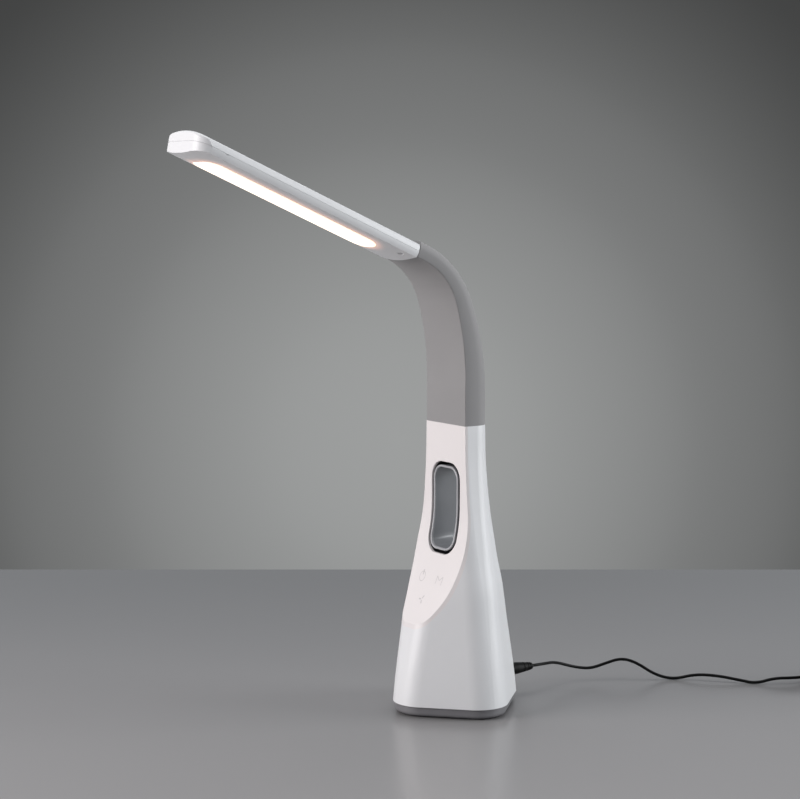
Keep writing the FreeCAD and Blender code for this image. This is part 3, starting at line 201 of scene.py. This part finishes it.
def make_lead():
    """The power lead as one smooth line."""
    line = bpy.data.curves.new("power_lead", "CURVE")
    line.dimensions = "3D"
    spline = line.splines.new("NURBS")
    points = lead_points()
    spline.points.add(len(points) - 1)
    for spot, point in zip(spline.points, points):
        spot.co = (*point, 1)
    spline.order_u = 3
    spline.use_endpoint_u = True
    spline.resolution_u = LEAD_STEPS
    line.bevel_depth = LEAD_THICKNESS / 2
    line.bevel_resolution = LEAD_ROUNDNESS
    line.use_fill_caps = True
    lead = bpy.data.objects.new("power_lead", line)
    bpy.context.scene.collection.objects.link(lead)
    return lead


def make_camera():
    """The photograph's viewpoint."""
    bpy.ops.object.camera_add(location=EYE)
    camera = bpy.context.object
    camera.name = "viewpoint"
    camera.rotation_euler = LOOK.to_track_quat("-Z", "Y").to_euler()
    camera.data.lens = LENS
    camera.data.sensor_width = SENSOR
    bpy.context.scene.camera = camera


make_camera()
lead = make_lead()


# The neck's middle line

def neck_length():
    """The middle line's length."""
    return NECK_RISE + sum(radius * angle for radius, angle in NECK_ARCS) + NECK_TAIL


def neck_depth(place):
    """The neck's depth at a place along its middle line."""
    share = place / neck_length()
    for (start, first), (end, second) in zip(THICKNESS_SHARES, THICKNESS_SHARES[1:]):
        if share <= end:
            break
    return (NECK_FRONT + NECK_REAR) * (first + (second - first) * (share - start) / (end - start))


def neck_station(place):
    """The middle line's point and its lean from upright."""
    y = (NECK_REAR - NECK_FRONT) / 2
    z = TOWER_TOP + min(place, NECK_RISE)
    rest = max(place - NECK_RISE, 0)
    lean = 0.0
    for radius, angle in NECK_ARCS:
        turn = min(rest / radius, angle)
        y -= radius * (cos(lean) - cos(lean + turn))
        z += radius * (sin(lean + turn) - sin(lean))
        lean += turn
        rest -= turn * radius
    return Vector((0, y - rest * sin(lean), z + rest * cos(lean))), lean


# Materials

class Number:
    """A number inside a material, in which sums are written as on plain numbers."""

    def __init__(self, finish, socket):
        self.finish = finish
        self.socket = socket

    def work(self, operation, *terms):
        node = self.finish.add("ShaderNodeMath", {"operation": operation}, dict(enumerate(terms)))
        return Number(self.finish, node.outputs[0])

    def __add__(self, other):
        return self.work("ADD", self, other)

    def __sub__(self, other):
        return self.work("SUBTRACT", self, other)

    def __rsub__(self, other):
        return self.work("SUBTRACT", other, self)

    def __mul__(self, other):
        return self.work("MULTIPLY", self, other)

    def __pow__(self, other):
        return self.work("POWER", self, other)

    def __abs__(self):
        return self.work("ABSOLUTE", self)

    __radd__ = __add__
    __rmul__ = __mul__

    def most(self, other):
        return self.work("MAXIMUM", self, other)

    def least(self, other):
        return self.work("MINIMUM", self, other)

    def swing(self, reach):
        """A pattern from 0 to 1 turned into one that swings about zero, reach from end to end."""
        return (self - 0.5) * reach

    def step(self, low, high):
        """0 below low and 1 above high, smooth between."""
        node = self.finish.add("ShaderNodeMapRange", {"interpolation_type": "SMOOTHSTEP"},
                               {"Value": self, "From Min": low, "From Max": high})
        return Number(self.finish, node.outputs[0])


class Nodes:
    """The nodes of a material or of the world, from an empty sheet."""

    def __init__(self, owner):
        owner.use_nodes = True
        self.tree = owner.node_tree
        self.tree.nodes.clear()

    def add(self, kind, settings=None, inputs=None):
        """A node of a kind, its settings first, then the values or links of its sockets."""
        node = self.tree.nodes.new(kind)
        for name, value in (settings or {}).items():
            if name == "stops":
                self.set_stops(node.color_ramp, *value)
            else:
                setattr(node, name, value)
        for name, value in (inputs or {}).items():
            if isinstance(value, Number):
                value = value.socket
            if isinstance(value, bpy.types.NodeSocket):
                self.tree.links.new(value, node.inputs[name])
            else:
                node.inputs[name].default_value = value
        return node

    def set_stops(self, ramp, interpolation, stops):
        """A ramp's way between its stops, and their places and colours."""
        ramp.interpolation = interpolation
        while len(ramp.elements) < len(stops):
            ramp.elements.new(0.5)
        for element, (place, colour) in zip(ramp.elements, stops):
            element.position = place
            element.color = colour


class Finish(Nodes):
    """A material under construction, its pattern laid out in metres on the piece."""

    def __init__(self, name):
        self.material = bpy.data.materials.new(name)
        super().__init__(self.material)
        self.spot = self.add("ShaderNodeTexCoord").outputs["Object"]

    def noise(self, pitch, detail=2.0, roughness=0.5):
        """A cloudy pattern whose patches are about pitch across, from 0 to 1."""
        node = self.add("ShaderNodeTexNoise", None, {"Vector": self.spot, "Scale": 1 / pitch,
                                                     "Detail": detail, "Roughness": roughness})
        return Number(self, node.outputs[0])

    def cells(self, pitch):
        """The distance to the nearest of scattered points, in shares of pitch."""
        node = self.add("ShaderNodeTexVoronoi", None, {"Vector": self.spot, "Scale": 1 / pitch})
        return Number(self, node.outputs["Distance"])

    def axis(self, name, spot=None):
        """One of the coordinates X, Y and Z, of the piece or of another spot."""
        node = self.add("ShaderNodeSeparateXYZ", None, {0: spot or self.spot})
        return Number(self, node.outputs[name])

    def mixed(self, share, first, second):
        """A colour between two others."""
        node = self.add("ShaderNodeMix", {"data_type": "RGBA"},
                        {0: share, 6: first if isinstance(first, bpy.types.NodeSocket) else (*first, 1),
                         7: second if isinstance(second, bpy.types.NodeSocket) else (*second, 1)})
        return node.outputs[2]

    def relief(self, height, depth):
        """A surface that stands up by depth where height is 1."""
        node = self.add("ShaderNodeBump", None, {"Strength": 1.0, "Distance": depth, "Height": height})
        return node.outputs["Normal"]

    def coated(self, **inputs):
        """The finished surface from a principled shader."""
        shader = self.add("ShaderNodeBsdfPrincipled", None,
                          {name.replace("_", " "): value for name, value in inputs.items()})
        self.add("ShaderNodeOutputMaterial", None, {"Surface": shader.outputs[0]})
        return self.material


CLOUD_PITCH = 60.0 * MM
GRAIN_PITCH = 0.35 * MM
GRAIN_DEPTH = 0.006 * MM
SPECK_PITCH = 4.0 * MM
WHITE = (0.76, 0.76, 0.77)
PALER_WHITE = (0.79, 0.79, 0.80)
WHITE_GLOSS = 0.38
WHITE_COAT = 0.10
COAT_GLOSS = 0.25


def moulded(name, colour, tint, gloss, coat=0.0, shine=0.5):
    """Moulded plastic: a faint cloud in its colour and gloss, and the mould's fine grain."""
    finish = Finish(name)
    cloud = finish.noise(pitch=CLOUD_PITCH, detail=3)
    grit = finish.noise(pitch=GRAIN_PITCH, detail=3, roughness=0.6)
    speck = finish.noise(pitch=SPECK_PITCH, detail=2)
    base = finish.mixed(cloud * 0.7 + speck * 0.3, colour, tint)
    return finish.coated(Base_Color=base, Roughness=gloss + cloud.swing(0.06) + grit.swing(0.05),
                         Normal=finish.relief(grit, depth=GRAIN_DEPTH), Coat_Weight=coat,
                         Coat_Roughness=COAT_GLOSS, Specular_IOR_Level=shine)


def silicone(name, colour, tint):
    """Matt silicone rubber with a soft bloom and lint-fine marks."""
    finish = Finish(name)
    cloud = finish.noise(pitch=35 * MM, detail=4, roughness=0.6)
    grit = finish.noise(pitch=0.25 * MM, detail=3, roughness=0.7)
    base = finish.mixed(cloud, colour, tint)
    return finish.coated(Base_Color=base, Roughness=0.62 + cloud.swing(0.1),
                         Normal=finish.relief(grit, depth=0.008 * MM), Sheen_Weight=0.12, Sheen_Roughness=0.5)


def glossy_duct(name):
    """Dark glossy plastic of the air eye's duct, with a painted highlight on its rounded lip."""
    finish = Finish(name)
    cloud = finish.noise(pitch=25 * MM, detail=3)
    grit = finish.noise(pitch=0.5 * MM, detail=2)
    height = finish.axis("Z")
    depth = finish.axis("Y")
    drop = (SCOOP_TOP - height).most(0)
    face = (SCOOP_RADIUS * SCOOP_RADIUS - drop * drop) ** 0.5 - (NECK_FRONT + SCOOP_RADIUS)
    # Painted highlight: the duct's rounded lip is paler, standing in for light caught on its rounding.
    painted_lip_highlight = (depth - face).step(low=1.5 * MM, high=0.5 * MM)
    base = finish.mixed(cloud, (0.215, 0.221, 0.233), (0.262, 0.268, 0.280))
    base = finish.mixed(painted_lip_highlight, base, (0.40, 0.40, 0.415))
    return finish.coated(Base_Color=base, Roughness=0.22 + cloud.swing(0.06) + painted_lip_highlight * 0.12,
                         Normal=finish.relief(grit, depth=0.003 * MM), Coat_Weight=0.3, Coat_Roughness=0.12)


def turned_metal(name, colour, tint, gloss=0.34):
    """Plated or machined metal with fine scratches."""
    finish = Finish(name)
    scratch = finish.noise(pitch=0.4 * MM, detail=4, roughness=0.7)
    cloud = finish.noise(pitch=6 * MM, detail=2)
    return finish.coated(Base_Color=finish.mixed(cloud, colour, tint), Metallic=1.0,
                         Roughness=gloss + scratch.swing(0.2),
                         Normal=finish.relief(scratch, depth=0.004 * MM))


def foam(name):
    """Closed-cell foam with its pores."""
    finish = Finish(name)
    pore = finish.cells(pitch=0.7 * MM).step(low=0.1, high=0.6)
    return finish.coated(Base_Color=finish.mixed(pore, (0.012, 0.012, 0.013), (0.045, 0.045, 0.048)),
                         Roughness=0.9 - pore * 0.12, Normal=finish.relief(pore, depth=0.12 * MM))


def cast(name):
    """Cast iron, rough from the sand."""
    finish = Finish(name)
    grit = finish.noise(pitch=0.8 * MM, detail=5, roughness=0.7)
    cloud = finish.noise(pitch=12 * MM, detail=3)
    base = finish.mixed(cloud, (0.030, 0.030, 0.032), (0.060, 0.056, 0.052))
    return finish.coated(Base_Color=base, Metallic=0.7, Roughness=0.6 + grit.swing(0.3),
                         Normal=finish.relief(grit, depth=0.1 * MM))


def circuit(name):
    """Green solder mask with the copper tracks standing under it."""
    finish = Finish(name)
    track = finish.cells(pitch=2.4 * MM).step(low=0.32, high=0.38)
    cloud = finish.noise(pitch=8 * MM, detail=3)
    base = finish.mixed(track * 0.8 + cloud * 0.2, (0.010, 0.085, 0.030), (0.022, 0.150, 0.055))
    return finish.coated(Base_Color=base, Roughness=0.36 + cloud.swing(0.1),
                         Normal=finish.relief(track, depth=0.03 * MM))


def phosphor(name):
    """Yellow phosphor of a white LED."""
    finish = Finish(name)
    grit = finish.noise(pitch=0.3 * MM, detail=3)
    return finish.coated(Base_Color=finish.mixed(grit, (0.80, 0.62, 0.12), (0.90, 0.78, 0.25)),
                         Roughness=0.45 + grit * 0.1, Normal=finish.relief(grit, depth=0.01 * MM))


def beyond_window(finish):
    """How far a spot of the head lies outside the light window's edge; inside it is below zero."""
    middle, lean = neck_station(neck_length())
    seat = middle - Vector((0, cos(lean), sin(lean))) * neck_depth(neck_length()) / 2
    mapping = finish.add("ShaderNodeMapping", {"vector_type": "TEXTURE"},
                         {"Vector": finish.spot, "Location": seat, "Rotation": (lean - pi / 2, 0, 0)})
    level = mapping.outputs[0]
    from_middle = finish.axis("Y", level) + WINDOW_REAR + WINDOW_LENGTH / 2
    across = abs(finish.axis("X", level)) - (WINDOW_WIDTH / 2 - WINDOW_CORNER)
    along = abs(from_middle) - (WINDOW_LENGTH / 2 - WINDOW_CORNER)
    corner = (across.most(0) ** 2 + along.most(0) ** 2) ** 0.5
    return corner + across.most(along).least(0) - WINDOW_CORNER


def lit_diffuser(name):
    """The lit window: warm white, and peach along its edge."""
    finish = Finish(name)
    fringe = beyond_window(finish).step(low=-4.5 * MM, high=0.5 * MM)
    cloud = finish.noise(pitch=9 * MM, detail=2)
    return finish.coated(Base_Color=finish.mixed(cloud, (0.85, 0.82, 0.74), (0.88, 0.86, 0.80)),
                         Roughness=0.4 + cloud.swing(0.1),
                         Emission_Color=finish.mixed(fringe, (1.0, 0.94, 0.83), (1.0, 0.68, 0.46)),
                         Emission_Strength=1.35)


def glowing_frame(name):
    """The head's lower shell: white plastic, with a painted rosy glow round the window where light leaks
    through it.
    """
    finish = Finish(name)
    cloud = finish.noise(pitch=CLOUD_PITCH, detail=3)
    grit = finish.noise(pitch=GRAIN_PITCH, detail=3, roughness=0.6)
    # Painted glow: a rosy emission round the window stands in for light leaking through the plastic.
    painted_glow = (1 - beyond_window(finish).step(low=-1.0 * MM, high=11.0 * MM)) ** 1.5
    return finish.coated(Base_Color=finish.mixed(cloud, WHITE, PALER_WHITE),
                         Roughness=WHITE_GLOSS + cloud.swing(0.06),
                         Normal=finish.relief(grit, depth=GRAIN_DEPTH),
                         Coat_Weight=WHITE_COAT, Coat_Roughness=COAT_GLOSS,
                         Emission_Color=finish.mixed(painted_glow, (0, 0, 0), (1.0, 0.46, 0.30)),
                         Emission_Strength=0.42)


FINISHES = {
    "white_plastic": moulded("white_plastic", WHITE, PALER_WHITE, WHITE_GLOSS, coat=WHITE_COAT),
    # Front panel: white plastic whose pink tint is painted warm light from the lamp head.
    "panel_plastic": moulded("panel_plastic", (0.79, 0.745, 0.74), (0.81, 0.77, 0.765), 0.36, coat=0.15),
    "grey_plastic": moulded("grey_plastic", (0.170, 0.166, 0.175), (0.190, 0.186, 0.195), 0.45),
    "sleeve_grey": silicone("sleeve_grey", (0.258, 0.251, 0.252), (0.284, 0.277, 0.278)),
    "duct_grey": glossy_duct("duct_grey"),
    "black_plastic": moulded("black_plastic", (0.012, 0.012, 0.013), (0.018, 0.018, 0.020), 0.5),
    "foam": foam("foam"),
    "steel": turned_metal("steel", (0.55, 0.55, 0.56), (0.62, 0.62, 0.63)),
    "cast": cast("cast"),
    "board": circuit("board"),
    "component": moulded("component", (0.020, 0.020, 0.022), (0.030, 0.030, 0.033), 0.4),
    "copper": turned_metal("copper", (0.80, 0.52, 0.25), (0.86, 0.60, 0.32)),
    "aluminium": turned_metal("aluminium", (0.72, 0.72, 0.73), (0.80, 0.80, 0.81), 0.4),
    "diffuser": lit_diffuser("diffuser"),
    "led": phosphor("led"),
    "cord_black": moulded("cord_black", (0.003, 0.003, 0.003), (0.006, 0.006, 0.006), 0.42, shine=0.12),
    "touch_mark": moulded("touch_mark", (0.56, 0.53, 0.53), (0.61, 0.58, 0.58), 0.4),
}
OWN_FINISHES = {"head_frame": glowing_frame("head_frame")}


def dress(piece, slot):
    """Give a new piece one of the finishes."""
    piece.data.materials.clear()
    piece.data.materials.append(FINISHES[slot])


def dress_solids():
    """Each carried-over solid takes the finish of its slot, or the one made for it alone."""
    for part in frame["record"]["subparts"]:
        piece = frame["nodes"][part["node"]]
        for place in piece.material_slots:
            place.material = OWN_FINISHES.get(part["node"], FINISHES[part["material_slot"]])


# Modelling by hand

REAL_EDGE = radians(35)


def select_nothing():
    """Leave no object selected, so that an operator acts on a new piece alone."""
    bpy.ops.object.select_all(action="DESELECT")


def pick(piece, wanted):
    """Select only the corners that wanted accepts."""
    shape = bmesh.from_edit_mesh(piece.data)
    for corner in shape.verts:
        corner.select = bool(wanted(corner))
    shape.select_flush_mode()
    bmesh.update_edit_mesh(piece.data)


def finished(piece, name):
    """Name the selected piece and shade it smooth, up to its real edges."""
    piece.name = name
    piece.data.name = name
    bpy.ops.object.shade_smooth_by_angle(angle=REAL_EDGE)
    return piece


def apply_modifier(piece, kind, **settings):
    """Add a modifier, set it and make it part of the mesh."""
    modifier = piece.modifiers.new(kind.lower(), kind)
    for name, value in settings.items():
        setattr(modifier, name, value)
    bpy.ops.object.modifier_apply(modifier=modifier.name)


# Neck sleeve

def add_section(piece, place):
    """One ring of the sleeve: flat front, straight sides and rounded back corners."""
    middle, lean = neck_station(place)
    depth = neck_depth(place)
    below = TOWER_TOP / 2
    bpy.ops.mesh.primitive_plane_add(size=1)
    bpy.ops.transform.resize(value=(NECK_WIDTH, depth, 1), center_override=(0, 0, 0))
    for side, width, steps in ((1, REAR_CORNER_SHARE * depth, REAR_STEPS), (-1, FRONT_EDGE, FRONT_STEPS)):
        pick(piece, lambda corner: corner.co.z < below and corner.co.y * side > depth * CORNER_SHARE)
        bpy.ops.mesh.bevel(offset=width, segments=steps, affect="VERTICES")
    pick(piece, lambda corner: corner.co.z < below)
    bpy.ops.transform.rotate(value=-lean, orient_axis="X", center_override=(0, 0, 0))
    bpy.ops.transform.translate(value=middle)


def make_sleeve(name, low, high):
    """A length of the soft sleeve, from ring to ring, with its wall."""
    select_nothing()
    bpy.ops.mesh.primitive_plane_add(size=1)
    piece = bpy.context.object
    bpy.ops.object.mode_set(mode="EDIT")
    bpy.ops.mesh.select_mode(type="VERT")
    bpy.ops.mesh.select_all(action="SELECT")
    bpy.ops.mesh.delete(type="VERT")
    steps = max(int(round((high - low) / RING_PITCH)), FEWEST_RINGS)
    for step in range(steps + 1):
        add_section(piece, low + (high - low) * step / steps)
    bpy.ops.mesh.select_all(action="SELECT")
    bpy.ops.mesh.delete(type="ONLY_FACE")
    bpy.ops.mesh.select_all(action="SELECT")
    bpy.ops.mesh.bridge_edge_loops(type="SINGLE")
    bpy.ops.mesh.select_all(action="SELECT")
    bpy.ops.mesh.normals_make_consistent(inside=False)
    bpy.ops.object.mode_set(mode="OBJECT")
    apply_modifier(piece, "SOLIDIFY", thickness=SLEEVE_SKIN, offset=-1)
    return finished(piece, name)


def make_sleeves():
    """The whole sleeve, one length for each bend of the neck."""
    ends = [FIRST_HINGE + HINGE_PITCH * (index + 0.5) for index in range(BENDS - 1)]
    ends = [0] + ends + [neck_length() - NECK_END_GAP]
    for index, (low, high) in enumerate(zip(ends, ends[1:])):
        piece = make_sleeve("sleeve_%d" % (index + 1), low, high)
        dress(piece, "sleeve_grey")
        bend = FIRST_HINGE + HINGE_PITCH * index
        LINKS[index + 1]
        neck_station(bend - HINGE_PITCH / 2)[0]
        neck_station(bend + HINGE_PITCH / 2)[0]
        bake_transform(piece)
        stands_for = ["neck_sleeve_%d" % index] + (["neck_sleeve_6"] if index == BENDS - 1 else [])
        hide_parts(*stands_for)


# Touch marks

def lay_on_panel(piece):
    """Press a flat mark on the front panel, a hair proud of it."""
    apply_modifier(piece, "SHRINKWRAP", target=frame["nodes"]["front_panel"], wrap_method="PROJECT",
                   use_project_x=False, use_project_y=True, use_project_z=False,
                   use_negative_direction=False, use_positive_direction=True, offset=MARK_LIFT)


def mark_ring(x, z, radius, width):
    """A ring, facing the front, cut from a disc."""
    select_nothing()
    bpy.ops.mesh.primitive_circle_add(vertices=RING_CORNERS, radius=radius, fill_type="NGON",
                                      location=(x, IN_FRONT, z), rotation=(pi / 2, 0, 0))
    piece = bpy.context.object
    bpy.ops.object.mode_set(mode="EDIT")
    bpy.ops.mesh.select_all(action="SELECT")
    bpy.ops.mesh.inset(thickness=width)
    bpy.ops.mesh.delete(type="FACE")
    bpy.ops.object.mode_set(mode="OBJECT")
    bpy.ops.object.transform_apply(location=True, rotation=True, scale=True)
    return piece


def mark_bar(start, end, width):
    """A straight stroke between two points of the front, in X and Z."""
    select_nothing()
    run = Vector((end[0] - start[0], 0, end[1] - start[1]))
    middle = Vector(((start[0] + end[0]) / 2, IN_FRONT, (start[1] + end[1]) / 2))
    bpy.ops.mesh.primitive_grid_add(x_subdivisions=BAR_STEPS[0], y_subdivisions=BAR_STEPS[1], size=1,
                                    location=middle, rotation=(pi / 2, -atan2(run.z, run.x), 0))
    piece = bpy.context.object
    piece.scale = (run.length, width, 1)
    bpy.ops.object.transform_apply(location=True, rotation=True, scale=True)
    return piece


def joined(pieces, name):
    """Several pieces made one."""
    select_nothing()
    for piece in pieces:
        piece.select_set(True)
    bpy.context.view_layer.objects.active = pieces[0]
    bpy.ops.object.join()
    return finished(bpy.context.object, name)


def make_touch_marks():
    """Power, reading light and fan, each a thin grey symbol on the panel."""
    left, right, row = -KEY_SIDE, KEY_SIDE, KEY_LEVEL
    ring = mark_ring(left, row, POWER_RADIUS, STROKE)
    stem = mark_bar((left, row + POWER_STEM[0]), (left, row + POWER_STEM[1]), STEM_STROKE)
    power = joined([ring, stem], "mark_power")
    letter = [
        (right - LETTER_SIDE, row - LETTER_RISE), (right - LETTER_SIDE, row + LETTER_RISE), (right, row),
        (right + LETTER_SIDE, row + LETTER_RISE), (right + LETTER_SIDE, row - LETTER_RISE),
    ]
    book = joined([mark_bar(start, end, STROKE) for start, end in zip(letter, letter[1:])], "mark_reading")
    blades = []
    for index in range(3):
        angle = pi + 2 * pi / 3 * index
        root, tip = [(FAN_MARK[0] + reach * cos(angle), FAN_MARK[1] + reach * sin(angle))
                     for reach in BLADE_REACH]
        blades.append(mark_bar(root, tip, BLADE_STROKE))
    fan = joined(blades, "mark_fan")
    for piece in (power, book, fan):
        select_nothing()
        piece.select_set(True)
        bpy.context.view_layer.objects.active = piece
        lay_on_panel(piece)
        dress(piece, "touch_mark")
        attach(piece, "tower")


# Stage

def make_table():
    """The pale table top, with its far edge where the photograph has it."""
    select_nothing()
    away = Vector((LOOK.x, LOOK.y, 0)).normalized()
    turn = atan2(away.y, away.x)
    middle = away * (TABLE_BEHIND - TABLE_DEPTH / 2)
    bpy.ops.mesh.primitive_plane_add(size=1, location=middle, rotation=(0, 0, turn))
    table = bpy.context.object
    table.scale = (TABLE_DEPTH, TABLE_WIDTH, 1)
    bpy.ops.object.transform_apply(location=True, rotation=True, scale=True)
    finish = Finish("table_top")
    cloud = finish.noise(pitch=0.4, detail=3)
    grit = finish.noise(pitch=0.6 * MM, detail=2)
    reach = finish.add("ShaderNodeVectorMath", {"operation": "DOT_PRODUCT"}, {0: finish.spot, 1: away})
    # Painted shade: the table's colour grows darker towards its far edge.
    painted_falloff = Number(finish, reach.outputs["Value"]).step(low=TABLE_BEHIND, high=-TABLE_BEFORE)
    base = finish.mixed(painted_falloff * 0.9 + cloud * 0.1, TABLE_FAR_PAINTED_SHADE, TABLE_NEAR)
    table.data.materials.append(finish.coated(Base_Color=base, Roughness=0.26 + cloud.swing(0.05),
                                              Normal=finish.relief(grit, depth=0.002 * MM)))
    finished(table, "table_top")


def make_backdrop():
    """Even light from all round, and for the camera a grey studio wall with a soft pool of light."""
    world = bpy.data.worlds.new("studio")
    bpy.context.scene.world = world
    room = Nodes(world)
    aim = (LOOK - Vector((0, 0, POOL_DROP))).normalized()
    way = room.add("ShaderNodeTexCoord").outputs["Generated"]
    apart = room.add("ShaderNodeVectorMath", {"operation": "DISTANCE"}, {0: way, 1: aim})
    stops = [(place, (*(grey * share for share in POOL_TINT), 1)) for place, grey in POOL_GREYS]
    pool = room.add("ShaderNodeValToRGB", {"stops": ("CARDINAL", stops)}, {0: apart.outputs["Value"]})
    seen = room.add("ShaderNodeBackground", None, {"Color": pool.outputs[0]})
    light = room.add("ShaderNodeBackground", None, {"Color": (*ROOM_LIGHT, 1), "Strength": ROOM_STRENGTH})
    ray = room.add("ShaderNodeLightPath").outputs["Is Camera Ray"]
    mix = room.add("ShaderNodeMixShader", None, {0: ray, 1: light.outputs[0], 2: seen.outputs[0]})
    room.add("ShaderNodeOutputWorld", None, {"Surface": mix.outputs[0]})


def softbox(name, place, aim, size, power, colour):
    """A large soft lamp that points at a spot and doesn't show itself."""
    bpy.ops.object.light_add(type="AREA", location=place)
    lamp = bpy.context.object
    lamp.name = name
    lamp.rotation_euler = (Vector(aim) - Vector(place)).to_track_quat("-Z", "Y").to_euler()
    lamp.data.shape = "RECTANGLE"
    lamp.data.size, lamp.data.size_y = size
    lamp.data.energy = power
    lamp.data.color = colour
    lamp.visible_camera = False


def light_scene():
    """Two softboxes, left front and right rear, and a weaker one overhead."""
    for box in SOFTBOXES:
        softbox(*box)


dress_solids()
lead.data.materials.append(FINISHES["cord_black"])
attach(lead, "tower")
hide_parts("cord_run", "cord_coil")
make_sleeves()
make_touch_marks()
make_table()
make_backdrop()
light_scene()
bpy.context.scene.view_settings.view_transform = "Standard"
